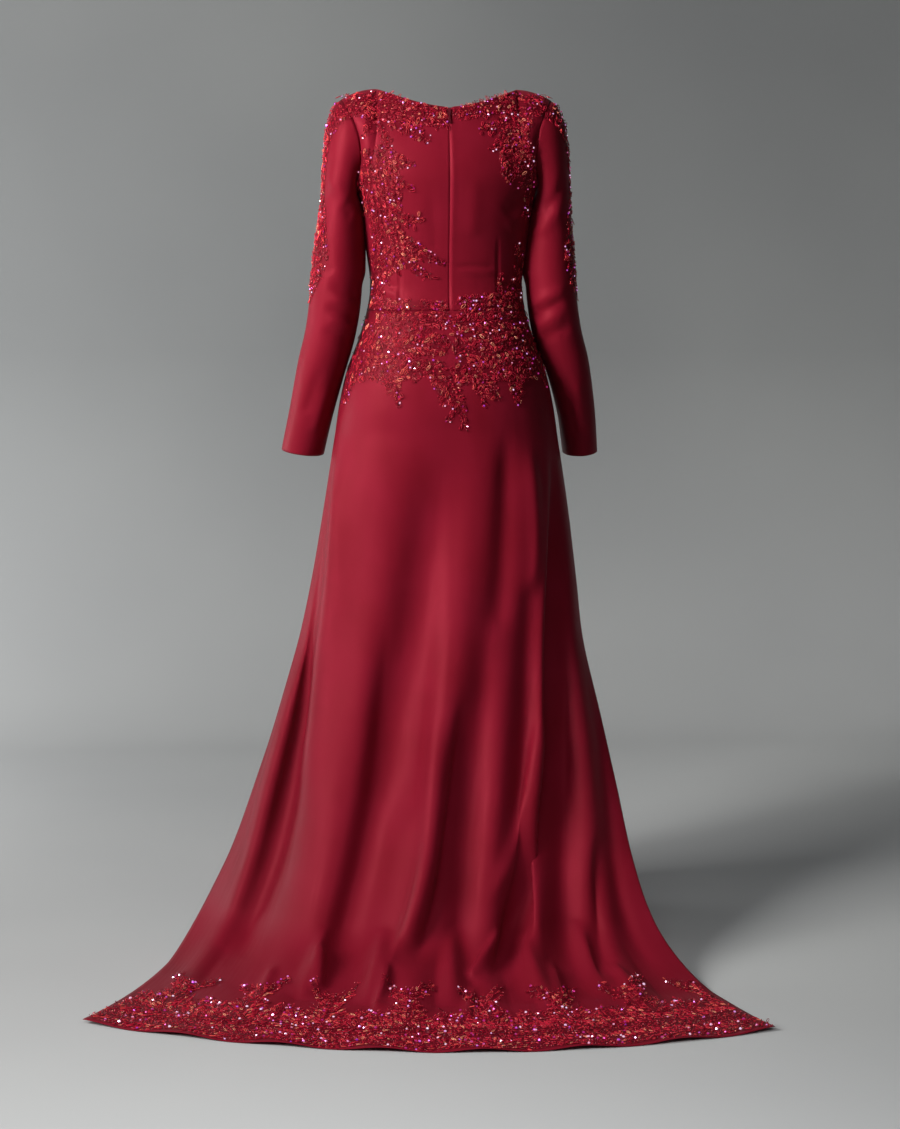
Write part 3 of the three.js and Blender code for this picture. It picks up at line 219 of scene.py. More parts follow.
# Creases of the sleeves: depth, half width, and path in millimetres round the arm to the back and in height.
SLEEVE_LEFT_CREASES = [
    (5.0, 30, [(146, 1262), (146, 1100)]), (-3.2, 8, [(50, 1106), (126, 1078)]),
    (3.0, 8, [(54, 1088), (128, 1060)]), (-3.2, 7, [(46, 1070), (124, 1042)]),
    (2.8, 8, [(54, 1052), (120, 1028)]), (-2.6, 7, [(50, 1032), (116, 1006)]),
    (3.2, 12, [(30, 1296), (84, 1238)]), (-3.0, 10, [(40, 1266), (100, 1216)]),
    (-2.6, 11, [(70, 968), (58, 880)]), (2.6, 10, [(92, 940), (84, 850)]),
    (-2.2, 8, [(40, 1180), (60, 1120)]),
]
SLEEVE_RIGHT_CREASES = [
    (5.0, 30, [(146, 1262), (146, 1100)]), (3.2, 9, [(44, 1100), (120, 1070)]),
    (-3.4, 8, [(52, 1080), (126, 1050)]), (3.0, 8, [(54, 1058), (122, 1030)]),
    (-3.0, 8, [(44, 1038), (112, 1010)]), (-3.2, 11, [(36, 1280), (96, 1226)]),
    (3.0, 12, [(50, 1240), (104, 1190)]), (2.6, 11, [(64, 950), (76, 860)]),
    (-2.5, 10, [(90, 920), (88, 840)]),
]
# The lapped edge over the zip: its width, how far it stands up and reaches past the middle, and the distance
# between the pulls of its stitches and their depth.
LAP_WIDE, LAP_HIGH, LAP_OVER, STITCH_PULL, PULL_DEEP = 10.5, 0.35, 1.5, 9, 0.6
# The waist seam's depth, the bound neckline's thickness and the dip of its small V, and the ease of the
# bodice's sides with the height where it is greatest.
SEAM_DEEP, BINDING_HIGH, NECK_DIP, SIDE_EASE, SIDE_EASE_AT = 1.1, 0.5, 5, 5.0, 1180


# Curves and sections.

def mix(a, b, t):
    return a + (b - a) * t


def ease(value, low, high):
    t = np.clip((value - low) / (high - low), 0, 1)
    return t * t * (3 - 2 * t)


def groove(distance, wide):
    """The soft dip or swell of a seam, crease or fold, 1 on its line."""
    return np.exp(-((distance / wide) ** 2))


def hermite(start, start_slope, end, end_slope, t):
    rest = 1 - t
    return (start * (1 + 2 * t) * rest * rest + start_slope * t * rest * rest
            + end * t * t * (3 - 2 * t) - end_slope * t * t * rest)


def smooth_line(table, column):
    """A smooth line through one column of a table, as a function of the first column."""
    rows = np.array(sorted(table), float)
    keys, values = rows[:, 0], rows[:, column]
    slopes = np.empty_like(values)
    slopes[1:-1] = (values[2:] - values[:-2]) / (keys[2:] - keys[:-2])
    slopes[0] = (values[1] - values[0]) / (keys[1] - keys[0])
    slopes[-1] = (values[-1] - values[-2]) / (keys[-1] - keys[-2])

    def value_at(key):
        place = np.clip(key, keys[0], keys[-1])
        i = np.clip(np.searchsorted(keys, place, side="right") - 1, 0, len(keys) - 2)
        span = keys[i + 1] - keys[i]
        t = (place - keys[i]) / span
        return hermite(values[i], slopes[i] * span, values[i + 1], slopes[i + 1] * span, t)

    return value_at


def arc_through(low, middle, high):
    """The parabola that has these values at -1, 0 and 1."""
    return lambda t: middle + (high - low) / 2 * t + ((high + low) / 2 - middle) * t * t


def point(x, y, height):
    return np.stack(np.broadcast_arrays(x, y, height), axis=-1).astype(float)


def unit(v):
    return v / np.maximum(np.linalg.norm(v, axis=-1, keepdims=True), 1e-9)


def length_of(v):
    """The length of each vector, kept as a last column."""
    return np.linalg.norm(v, axis=-1, keepdims=True)


torso_half, torso_back, torso_front = (smooth_line(TORSO, column) for column in (1, 2, 3))
hem_x, hem_y = arc_through(*HEM_X), arc_through(*HEM_Y)
left_x, left_y, middle_x, middle_y, right_x, right_y = (smooth_line(HANG, column) for column in range(1, 7))


def section_point(height, turn, back):
    """A point of the body's section: turn is 0 in the middle of the back or front, 1 and -1 at the sides."""
    angle = np.minimum(np.abs(turn), 1) * np.pi / 2
    power = 2 / SQUARENESS
    depth = torso_back(height) if back else -torso_front(height)
    return point(
        np.sign(turn) * torso_half(height) * np.sin(angle) ** power,
        depth * np.maximum(np.cos(angle), 0) ** power,
        height,
    )


def armhole_point(angle):
    """The armhole on the wearer's left: 0 at the shoulder, a quarter turn at the back, half underarm."""
    side = np.sin(angle)
    centre, reach = (SHOULDER_TIP + ARMPIT) / 2, (SHOULDER_TIP - ARMPIT) / 2
    return point(
        (ARMHOLE_TOP_X + ARMHOLE_BOTTOM_X) / 2 + (ARMHOLE_TOP_X - ARMHOLE_BOTTOM_X) / 2 * np.cos(angle)
        - ARMHOLE_CUT * side * side,
        side * np.where(side > 0, ARMHOLE_BACK, ARMHOLE_FRONT),
        centre + reach * np.cos(angle),
    )


def top_edge_point(along, back):
    """The neckline and then the shoulder seam, from the middle (0) to the shoulder tip (1)."""
    side = 1 if back else -1
    angle = np.minimum(along / NECK_SHARE, 1) * np.pi / 2
    depth, low = (NECK_BACK, BACK_NECK) if back else (NECK_FRONT, FRONT_NECK)
    t = np.maximum(along - NECK_SHARE, 0) / (1 - NECK_SHARE)
    climb = np.sin(angle) ** NECK_ROUNDING
    on_neck = point(NECK_HALF * np.sin(angle), side * depth * np.cos(angle), mix(low, NECK_POINT, climb))
    on_shoulder = point(mix(NECK_HALF, SHOULDER_HALF, t), 0 * t, mix(NECK_POINT, SHOULDER_TIP, t * t))
    return np.where((along > NECK_SHARE)[..., None], on_shoulder, on_neck)


def upper_bodice_point(along, up, back):
    """Half a bodice above the armpit: along from the middle to the armhole, up from armpit to top edge."""
    side = 1 if back else -1

    def column(place):
        foot = section_point(ARMPIT, place, back)
        below = section_point(ARMPIT - SLOPE_STEP, place, back)
        head = top_edge_point(place, back)
        climb = head[..., 2] - foot[..., 2]
        foot_slope = (foot - below) * climb[..., None] / SLOPE_STEP * np.array([FOOT_ACROSS, 1, 1])
        over = ease(place, NECK_SHARE * 0.35, NECK_SHARE * 1.1)
        head_slope = point(0 * over, -side * mix(*HEAD_DEPTH, over), mix(*HEAD_RISE, over) * climb)
        return hermite(foot, foot_slope, head, head_slope, up[..., None])

    pull = armhole_point(side * np.pi * (1 - up)) - column(np.ones_like(along))
    return column(along) + pull * ease(along, 0.4, 1)[..., None]


def fold_offset(folds, across, height):
    """How far the folds stand out of the cloth at a place across a panel, at a height."""
    total = np.zeros(np.broadcast(across, height).shape)
    for start_place, end_place, start, depth, wide in folds:
        fallen = np.clip(1 - height / start, 0, 1)
        centre = mix(start_place, end_place, fallen ** FOLD_DRIFT)
        total += depth * ease(fallen, 0, FOLD_GROWN) * groove(across - centre, wide)
    return total


def hang_section(across, height):
    """The back panel's section at a height: round as the hip at the top, slack near the floor."""
    slack = ease(1 - height / SLIT_TOP, SLACK_FROM, SLACK_TO)
    angle = np.abs(across) * np.pi / 2
    power = 2 / SQUARENESS
    reach = np.sign(across) * mix(np.sin(angle) ** power, np.abs(across), slack)
    bulge = mix(np.maximum(np.cos(angle), 0) ** power, 1 - across * across, slack)
    left, right, middle = left_x(height), right_x(height), middle_x(height)
    edge_y = mix(right_y(height), left_y(height), (1 + across) / 2)
    return point(
        middle + (left - right) / 2 * reach + ((left + right) / 2 - middle) * across * across,
        mix(edge_y, middle_y(height), bulge),
        height,
    )


def hang_point(across, height):
    """The back panel where it hangs, with its folds."""
    place = hang_section(across, height)
    place[..., 1] += fold_offset(TRAIN_FOLDS, across, height)
    return place


def floor_point(across, share):
    """The train on the floor, from the line where it lands (0) to the hem (1)."""
    touch = hang_section(across, 0 * across)
    land = mix(LAND_SHARE, 1, share)
    bow = 4 * EDGE_BOW * land * (1 - land) * np.maximum(across, 0) ** 4
    ripple = np.maximum(fold_offset(TRAIN_FOLDS, across, 0), 0) * RIPPLE_LEFT * (1 - share) ** 3
    wave = HEM_WAVE * share ** 3 * (1 - np.cos(across * HEM_WAVE_TURNS))
    return point(
        mix(touch[..., 0], hem_x(across), land) - bow,
        mix(touch[..., 1], hem_y(across), land),
        CLOTH_OUTER + ripple + wave,
    )


# Panels of cloth.

class Panel:
    """A panel of cloth as a grid of points with its normals and its flat coordinates in metres."""

    def __init__(self, points, outward, tube=False):
        self.points, self.outward, self.tube = points, outward, tube
        self.find_normals()
        wrapped = np.concatenate([points, points[:, :1]], 1) if tube else points
        across = np.linalg.norm(np.diff(wrapped, axis=1), axis=2).mean(0)
        down = np.linalg.norm(np.diff(points, axis=0), axis=2).mean(1)
        self.u = np.concatenate([[0], np.cumsum(across)]) / 1000
        self.v = np.concatenate([[0], np.cumsum(down)]) / 1000

    def find_normals(self):
        p = self.points
        if self.tube:
            along = np.roll(p, -1, 1) - np.roll(p, 1, 1)
        else:
            along = np.gradient(p, axis=1)
        down = np.gradient(p, axis=0)
        normals = unit(np.cross(along, down))
        if (normals * self.outward(p)).sum() < 0:
            normals = -normals
        self.normals = normals

    def push(self, amount):
        """Moves the cloth out along its normals by so many millimetres."""
        self.points = self.points + self.normals * amount[..., None]
        self.find_normals()


def to_metres(points):
    """Millimetres with heights above the floor, as metres from the origin."""
    return (points - np.array([0, 0, SHOULDER_LINE])) / 1000


def shell(name, panel, material, shades):
    """The panel as one closed thin shell of cloth, smooth, with its flat coordinates as UVs.

    shades are values at its points, such as where the netting lies under the lace, with the painted shade
    between the cords that it carries.
    """
    rows, columns = panel.points.shape[:2]
    count = rows * columns
    verts = np.concatenate([
        to_metres(panel.points + panel.normals * CLOTH_OUTER).reshape(-1, 3),
        to_metres(panel.points + panel.normals * CLOTH_INNER).reshape(-1, 3),
    ])
    spans = columns if panel.tube else columns - 1
    i, j = np.meshgrid(np.arange(rows - 1), np.arange(spans), indexing="ij")
    i, j = i.ravel(), j.ravel()
    j_next = (j + 1) % columns
    here, below = i * columns, (i + 1) * columns
    quads = np.stack([here + j, here + j_next, below + j_next, below + j], 1)
    uv = np.stack([
        np.stack([panel.u[j], panel.v[i]], 1), np.stack([panel.u[j + 1], panel.v[i]], 1),
        np.stack([panel.u[j + 1], panel.v[i + 1]], 1), np.stack([panel.u[j], panel.v[i + 1]], 1),
    ], 1)
    a, b, c = (panel.points.reshape(-1, 3)[quads[:, k]] for k in (0, 1, 2))
    facing = (np.cross(b - a, c - a) * panel.normals.reshape(-1, 3)[quads[:, 0]]).sum() > 0
    turned = quads if facing else quads[:, ::-1]
    uv_turned = uv if facing else uv[:, ::-1]
    loops = []
    ring = np.arange(columns if panel.tube else columns - 1)
    loops.append(np.stack([ring, (ring + 1) % columns], 1))
    loops.append(loops[0][:, ::-1] + (rows - 1) * columns)
    if not panel.tube:
        down = np.arange(rows - 1)
        loops.append(np.stack([(down + 1) * columns, down * columns], 1))
        loops.append(np.stack([down * columns + columns - 1, (down + 1) * columns + columns - 1], 1))
    edges = np.concatenate(loops)
    rim = np.stack([edges[:, 0], edges[:, 0] + count, edges[:, 1] + count, edges[:, 1]], 1)
    if not facing:
        rim = rim[:, ::-1]
    faces = np.concatenate([turned, turned[:, ::-1] + count, rim])
    flat = np.zeros((len(rim), 4, 2))
    flat_places = np.concatenate([uv_turned, uv_turned[:, ::-1], flat])
    obj = mesh_object(name, verts, faces.tolist(), material, flat_places)
    for label, values in shades.items():
        layer = obj.data.attributes.new(label, "FLOAT", "POINT")
        layer.data.foreach_set("value", np.tile(np.broadcast_to(values, (rows, columns)).ravel(), 2))
    return obj


def mesh_object(name, verts, faces, material, uv=None, smooth=True):
    """An object in the scene with this mesh."""
    mesh = bpy.data.meshes.new(name)
    mesh.from_pydata(np.asarray(verts).tolist(), [], faces)
    if uv is not None:
        layer = mesh.uv_layers.new(name="flat")
        layer.data.foreach_set("uv", np.asarray(uv, np.float32).reshape(-1))
    if smooth:
        mesh.shade_smooth()
    if material:
        mesh.materials.append(material)
    obj = bpy.data.objects.new(name, mesh)
    bpy.context.scene.collection.objects.link(obj)
    return obj


def from_axis(p):
    return p * np.array([1, 1, 0])


def back_and_up(p):
    return np.zeros_like(p) + np.array([0, 1, 1])


def mirrored(panel_points):
    return panel_points * np.array([-1, 1, 1])


def bodice_points(back, columns, low_rows, high_rows):
    """Half a bodice panel from the waist seam up, with the middle first."""
    along = np.linspace(0, 1, columns)
    low = section_point(*np.meshgrid(np.linspace(WAIST_SEAM, ARMPIT, low_rows), along, indexing="ij"), back)
    up, place = np.meshgrid(np.linspace(0, 1, high_rows)[1:], along, indexing="ij")
    return np.concatenate([low, upper_bodice_point(place, up, back)])


def train_points(columns, hip_rows, hang_rows, bend_rows, floor_rows):
    """The back panel from the waist seam to the hem."""
    across = np.linspace(-1, 1, columns)
    step = SLIT_TOP * TRAIN_STEP
    height, place = np.meshgrid(np.linspace(WAIST_SEAM, SLIT_TOP, hip_rows), across, indexing="ij")
    hip = section_point(height, place, True)
    hip[..., 1] += fold_offset(TRAIN_FOLDS, place, height)
    height, place = np.meshgrid(np.linspace(SLIT_TOP, BEND_START, hang_rows)[1:], across, indexing="ij")
    hang = hang_point(place, height)
    start = hang_point(across, BEND_START + 0 * across)
    before = hang_point(across, BEND_START + step + 0 * across)
    end, beyond = floor_point(across, 0 * across), floor_point(across, TRAIN_STEP + 0 * across)
    reach = length_of(end - start)
    t = np.linspace(0, 1, bend_rows)[1:, None, None]
    bend = hermite(start, unit(start - before) * reach, end, unit(beyond - end) * reach * LANDING_SOFTNESS, t)
    rise = np.sin(np.pi * t[..., 0])
    for centre, high, wide in FLOOR_BREAKS:
        bend[..., 2] += high * rise * groove(across - centre, wide)
    bend[..., 2] = np.maximum(bend[..., 2], CLOTH_OUTER)
    share, place = np.meshgrid(np.linspace(0, 1, floor_rows)[1:], across, indexing="ij")
    return np.concatenate([hip, hang, bend, floor_point(place, share)])


def front_skirt_points(columns, hip_rows, hang_rows):
    """The front panel from the waist seam to just above the floor."""
    across = np.linspace(-1, 1, columns)
    height, place = np.meshgrid(np.linspace(WAIST_SEAM, SLIT_TOP, hip_rows), across, indexing="ij")
    hip = section_point(height, place, False)
    fallen, place = np.meshgrid(np.linspace(0, 1, hang_rows)[1:], across, indexing="ij")
    height = mix(SLIT_TOP, FRONT_HEM, fallen)
    hang = section_point(SLIT_TOP + 0 * height, place, False)
    hang[..., 0] = mix(hang[..., 0], FRONT_HEM_HALF * place, fallen)
    out = -FRONT_HEM_EDGE - FRONT_HEM_BELLY * (1 - place * place)
    hang[..., 1] = mix(hang[..., 1], out, fallen) - fold_offset(FRONT_FOLDS, place, height)
    hang[..., 2] = height
    return np.concatenate([hip, hang])


class Arm:
    """The centre line and section of a sleeve, as on the wearer's left."""

    def __init__(self, table):
        self.top, self.cuff = table[0][0], table[-1][0]
        self.x, self.y, self.wide, self.deep = (smooth_line(table, column) for column in (1, 2, 3, 4))

    def centre(self, height):
        return point(self.x(height), self.y(height), height)

    def around(self, height, angle):
        """A point round the sleeve, square to the arm: angle 0 outside, a quarter turn at the back."""
        down = unit(self.centre(height - ARM_STEP / 2) - self.centre(height + ARM_STEP / 2))
        back = unit(np.array([0.0, 1, 0]) - down * down[..., 1:2])
        out = unit(np.cross(back, down))
        out = np.where(out[..., :1] < 0, -out, out)
        return (self.centre(height) + out * (self.wide(height) * np.cos(angle))[..., None]
                + back * (self.deep(height) * np.sin(angle))[..., None])


def sleeve_points(table, columns, cap_rows, arm_rows):
    """A sleeve as on the wearer's left, as rings from the armhole to the cuff."""
    arm = Arm(table)
    angle = np.linspace(0, 2 * np.pi, columns, endpoint=False)
    under = (1 - np.cos(angle)) / 2
    leave = point(0.55 + 0.6 * under - 1.05 * under ** 3, 0.12 * np.sin(angle), -0.3 - 0.7 * under ** 4)
    start = armhole_point(angle) + unit(leave) * CAP_START
    start[..., 0] += UNDERARM_START * under ** 2
    end = arm.around(arm.top + 0 * angle, angle)
    reach = length_of(end - start)
    beyond = arm.around(arm.top - ARM_STEP + 0 * angle, angle)
    t = np.linspace(0, 1, cap_rows)[:, None, None]
    cap = hermite(start, leave * reach, end, unit(beyond - end) * reach, t)
    height, turn = np.meshgrid(np.linspace(arm.top, arm.cuff, arm_rows)[1:], angle, indexing="ij")
    return np.concatenate([cap, arm.around(height, turn)])


# Materials.

def linear(hex_colour):
    """An sRGB hex colour as the linear values that shaders take."""
    values = [int(hex_colour[i:i + 2], 16) / 255 for i in (1, 3, 5)]
    return (*[v / 12.92 if v <= 0.04045 else ((v + 0.055) / 1.055) ** 2.4 for v in values], 1)


def add_node(tree, kind, settings=None, **links):
    """Adds a node. settings are its properties and socket values, links the outputs that feed its sockets.

    A socket goes by its name, or by its number after an underscore. stops are the colours of a colour ramp.
    """
    node = tree.nodes.new(kind)
    for name, value in (settings or {}).items():
        if name == "stops":
            while len(node.color_ramp.elements) < len(value):
                node.color_ramp.elements.new(0.5)
            for element, (place, colour) in zip(node.color_ramp.elements, value):
                element.position, element.color = place, linear(colour)
        elif name[0] == "_":
            node.inputs[int(name[1:])].default_value = value
        elif name in node.inputs.keys():
            node.inputs[name].default_value = value
        else:
            setattr(node, name, value)
    for name, source in links.items():
        target = node.inputs[int(name[1:])] if name[0] == "_" else node.inputs[name.replace("_", " ")]
        tree.links.new(source, target)
    return node


def new_material(name):
    """A material with no nodes yet, and its tree."""
    material = bpy.data.materials.new(name)
    material.use_nodes = True
    material.node_tree.nodes.clear()
    return material, material.node_tree


# The last colour is the netting under the lace, darker than the satin partly for its own dye and partly as
# painted shade between the lace's cords.
SATIN_DARK, SATIN_LIGHT, NET_GROUND_AND_SHADE = "#731020", "#7C1427", "#640C1B"


def satin_crepe(name):
    """Satin-backed crepe: deep wine dye, a soft glow where light grazes it, and a fine pebbled weave.

    Under the lace it is darker, partly the netting's own red and partly painted shade between the cords. The
    train's single layers at the sides let some light through.
    """
    material, tree = new_material(name)
    flat = add_node(tree, "ShaderNodeTexCoord").outputs["UV"]
    net = add_node(tree, "ShaderNodeAttribute", {"attribute_name": "net"}).outputs["Fac"]
    sheer = add_node(tree, "ShaderNodeAttribute", {"attribute_name": "sheer"}).outputs["Fac"]
    # Crepe yarns are 0.3 mm apart. They stand 1.2 mm apart here, so that they still show from a few metres.
    # Slubs are drawn 4 mm wide and 70 mm long, soft rumples 75 by 125 mm, and the dye clouds over 110 mm.
    weave = add_node(tree, "ShaderNodeTexNoise", {"Scale": 820.0, "Detail": 2.0}, Vector=flat)
    slub_place = add_node(tree, "ShaderNodeMapping", {"Scale": (260.0, 14.0, 1.0)}, Vector=flat)
    slub = add_node(tree, "ShaderNodeTexNoise", {"Scale": 1.0, "Detail": 3.0}, Vector=slub_place.outputs[0])
    rumple_place = add_node(tree, "ShaderNodeMapping", {"Scale": (13.0, 8.0, 1.0)}, Vector=flat)
    rumple = add_node(tree, "ShaderNodeTexNoise", {"Scale": 1.0, "Detail": 3.0},
                      Vector=rumple_place.outputs[0])
    cloudy = add_node(tree, "ShaderNodeTexNoise", {"Scale": 9.0, "Detail": 2.0}, Vector=flat)
    dye = add_node(tree, "ShaderNodeValToRGB", {"stops": [(0.3, SATIN_DARK), (0.7, SATIN_LIGHT)]},
                   _0=cloudy.outputs["Fac"])
    # Under the lace the dye gives way to the netting's colour, which carries painted shade as well as the
    # netting's own red.
    colour = add_node(tree, "ShaderNodeMix", {"data_type": "RGBA", "_7": linear(NET_GROUND_AND_SHADE)},
                      _0=net, _6=dye.outputs["Color"])
    rough = add_node(tree, "ShaderNodeMapRange", {
        "From Min": 0.3, "From Max": 0.7, "To Min": 0.45, "To Max": 0.55,
    }, Value=slub.outputs["Fac"])
    yarns = add_node(tree, "ShaderNodeMath", {"operation": "ADD"},
                     _0=weave.outputs["Fac"], _1=slub.outputs["Fac"])
    soft = add_node(tree, "ShaderNodeBump", {"Strength": 0.35, "Distance": 0.004},
                    Height=rumple.outputs["Fac"])
    bump = add_node(tree, "ShaderNodeBump", {"Strength": 0.22, "Distance": 0.0004},
                    Height=yarns.outputs[0], Normal=soft.outputs[0])
    cloth = add_node(tree, "ShaderNodeBsdfPrincipled", {
        "Specular IOR Level": 0.42, "Specular Tint": linear("#D04A5A"), "Sheen Weight": 0.14,
        "Sheen Roughness": 0.5, "Sheen Tint": linear("#C84456"),
    }, Base_Color=colour.outputs[2], Roughness=rough.outputs[0], Normal=bump.outputs[0])
    glow = add_node(tree, "ShaderNodeBsdfTranslucent", {"Color": linear("#A82438")}, Normal=bump.outputs[0])
    body = add_node(tree, "ShaderNodeMixShader", {"Fac": 0.08}, _1=cloth.outputs[0], _2=glow.outputs[0])
    clear = add_node(tree, "ShaderNodeBsdfTransparent", {"Color": linear("#E8B0B4")})
    veiled = add_node(tree, "ShaderNodeMixShader", None, Fac=sheer, _1=body.outputs[0], _2=clear.outputs[0])
    add_node(tree, "ShaderNodeOutputMaterial", Surface=veiled.outputs[0])
    return material


def cord_thread(name):
    """Twisted rayon cord in the cloth's red, with coral and gold strands; the lightest gold is partly the
    thread's own and partly painted highlight along the cords.
    """
    material, tree = new_material(name)
    tint = add_node(tree, "ShaderNodeAttribute", {"attribute_name": "tint"}).outputs["Fac"]
    place = add_node(tree, "ShaderNodeTexCoord").outputs["Object"]
    # Strands are 0.4 mm apart in a real cord. They are drawn 2 mm apart, so that they show.
    strands = add_node(tree, "ShaderNodeTexNoise", {"Scale": 460.0, "Detail": 3.0}, Vector=place)
    both = add_node(tree, "ShaderNodeMath", {"operation": "MULTIPLY_ADD", "_1": 0.6},
                    _0=strands.outputs["Fac"], _2=tint)
    # The ramp's light gold end, reached where the strands run high, is partly gold thread and partly painted
    # highlight.
    colour = add_node(tree, "ShaderNodeValToRGB", {"stops": [
        (0.15, "#5E0418"), (0.4, "#AE1230"), (0.62, "#D62844"), (0.84, "#EA5E50"), (1.0, "#F8AC8A"),
    ]}, _0=both.outputs[0])
    bump = add_node(tree, "ShaderNodeBump", {"Strength": 0.5, "Distance": 0.0005},
                    Height=strands.outputs["Fac"])
    thread = add_node(tree, "ShaderNodeBsdfPrincipled", {
        "Roughness": 0.28, "Specular IOR Level": 0.55, "Specular Tint": linear("#FFB0A0"),
    }, Base_Color=colour.outputs["Color"], Normal=bump.outputs[0])
    add_node(tree, "ShaderNodeOutputMaterial", Surface=thread.outputs[0])
    return material


def glass_bead(name):
    """Small lined glass beads: dark red and smoky, with a hard bright point on each."""
    material, tree = new_material(name)
    tint = add_node(tree, "ShaderNodeAttribute", {"attribute_name": "tint"}).outputs["Fac"]
    colour = add_node(tree, "ShaderNodeValToRGB", {"stops": [
        (0.0, "#4A0212"), (0.45, "#A00C28"), (0.82, "#D82440"), (1.0, "#F8808A"),
    ]}, _0=tint)
    glass = add_node(tree, "ShaderNodeBsdfPrincipled", {
        "Roughness": 0.14, "Metallic": 0.35, "Coat Weight": 0.8, "Coat Roughness": 0.05,
    }, Base_Color=colour.outputs["Color"])
    add_node(tree, "ShaderNodeOutputMaterial", Surface=glass.outputs[0])
    return material


def cut_crystal(name):
    """Foil-backed cut crystals with a rainbow coat: near white, turning violet and pink from facet to facet.

    The emission is painted light: glints standing for the light the foil throws back from all round the room.
    """
    material, tree = new_material(name)
    tint = add_node(tree, "ShaderNodeAttribute", {"attribute_name": "tint"}).outputs["Fac"]
    place = add_node(tree, "ShaderNodeTexCoord").outputs["Object"]
    # The colour turns over 2.6 mm, a little less than a stone's width.
    facets = add_node(tree, "ShaderNodeTexNoise", {"Scale": 380.0, "Detail": 1.0}, Vector=place)
    both = add_node(tree, "ShaderNodeMath", {"operation": "MULTIPLY_ADD", "_1": 0.6},
                    _0=facets.outputs["Fac"], _2=tint)
    colour = add_node(tree, "ShaderNodeValToRGB", {"stops": [
        (0.25, "#8A1CB0"), (0.45, "#D860D8"), (0.7, "#FFE6FF"), (0.85, "#F49AC4"), (1.0, "#B02878"),
    ]}, _0=both.outputs[0])
    # Painted glints: the stones glow in their own colours, though they are no lamp.
    foil = add_node(tree, "ShaderNodeBsdfPrincipled", {
        "Roughness": 0.08, "Metallic": 0.85, "Coat Weight": 1.0, "Coat Roughness": 0.02,
        "Emission Strength": 0.8,
    }, Base_Color=colour.outputs["Color"], Emission_Color=colour.outputs["Color"])
    add_node(tree, "ShaderNodeOutputMaterial", Surface=foil.outputs[0])
    return material


def woven_tape(name):
    """Polyester zip tape: matt, in fine upright ribs."""
    material, tree = new_material(name)
    place = add_node(tree, "ShaderNodeTexCoord").outputs["Object"]
    # Ribs are 0.4 mm apart on the real tape and 2 mm here, so that they show.
    ribs = add_node(tree, "ShaderNodeTexWave", {"Scale": 160.0, "Distortion": 0.6}, Vector=place)
    colour = add_node(tree, "ShaderNodeValToRGB", {"stops": [(0.0, "#4A0814"), (1.0, "#6A1020")]},
                      _0=ribs.outputs["Fac"])
    bump = add_node(tree, "ShaderNodeBump", {"Strength": 0.4, "Distance": 0.0003}, Height=ribs.outputs["Fac"])
    cloth = add_node(tree, "ShaderNodeBsdfPrincipled", {"Roughness": 0.85, "Sheen Weight": 0.1},
                     Base_Color=colour.outputs["Color"], Normal=bump.outputs[0])
    add_node(tree, "ShaderNodeOutputMaterial", Surface=cloth.outputs[0])
    return material


def lacquered_metal(name):
    """Zinc slider lacquered wine red, a little duller where fingers have rubbed it."""
    material, tree = new_material(name)
    place = add_node(tree, "ShaderNodeTexCoord").outputs["Object"]
    # Rubbed patches are about 4 mm wide.
    rubbed = add_node(tree, "ShaderNodeTexNoise", {"Scale": 240.0, "Detail": 3.0}, Vector=place)
    colour = add_node(tree, "ShaderNodeValToRGB", {"stops": [(0.35, "#4C0814"), (0.7, "#6E1826")]},
                      _0=rubbed.outputs["Fac"])
    rough = add_node(tree, "ShaderNodeMapRange", {"To Min": 0.22, "To Max": 0.42},
                     Value=rubbed.outputs["Fac"])
    lacquer = add_node(tree, "ShaderNodeBsdfPrincipled", {"Metallic": 0.3, "Coat Weight": 0.3},
                       Base_Color=colour.outputs["Color"], Roughness=rough.outputs[0])
    add_node(tree, "ShaderNodeOutputMaterial", Surface=lacquer.outputs[0])
    return material


satin = satin_crepe("satin_backed_crepe")
cord_material = cord_thread("rayon_cord_lace")
bead_material = glass_bead("lined_glass_beads")
crystal_material = cut_crystal("foil_backed_crystals")
tape_material = woven_tape("woven_zip_tape")
metal_material = lacquered_metal("lacquered_zip_metal")
zip_finishes = {"zip_tape": tape_material, "zip_slider": metal_material, "zip_pull": metal_material}
for node, finish in zip_finishes.items():
    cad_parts[node].material_slots[0].material = finish


# Creases.

def crease(a, b, path, depth, start_wide, end_wide, lean=0.0):
    """How far one soft ridge, or a trough where depth is negative, moves the cloth at places (a, b)."""
    path = np.asarray(path, float)
    lengths = np.linalg.norm(np.diff(path, axis=0), axis=1)
    runs = np.concatenate([[0], np.cumsum(lengths)])
    away, along, side = np.full(a.shape, 1e9), np.zeros(a.shape), np.ones(a.shape)
    for start, end, length, run in zip(path, path[1:], lengths, runs):
        step = (end - start) / length
        t = np.clip((a - start[0]) * step[0] + (b - start[1]) * step[1], 0, length)
        off_a, off_b = a - start[0] - step[0] * t, b - start[1] - step[1] * t
        distance = np.hypot(off_a, off_b)
        nearer = distance < away
        away = np.where(nearer, distance, away)
        along = np.where(nearer, (run + t) / runs[-1], along)
        side = np.where(nearer, np.sign(step[0] * off_b - step[1] * off_a), side)
    wide = mix(start_wide, end_wide, along) * (1 + lean * side)
    return depth * groove(away, wide) * ease(along, 0, 0.3) * (1 - ease(along, 0.82, 1))


def crease_all(panel, a, b, table):
    """Presses a table's short creases into a panel: depth, half width and path of each."""
    panel.push(sum(crease(a, b, path, depth, wide, wide * 1.2) for depth, wide, path in table))


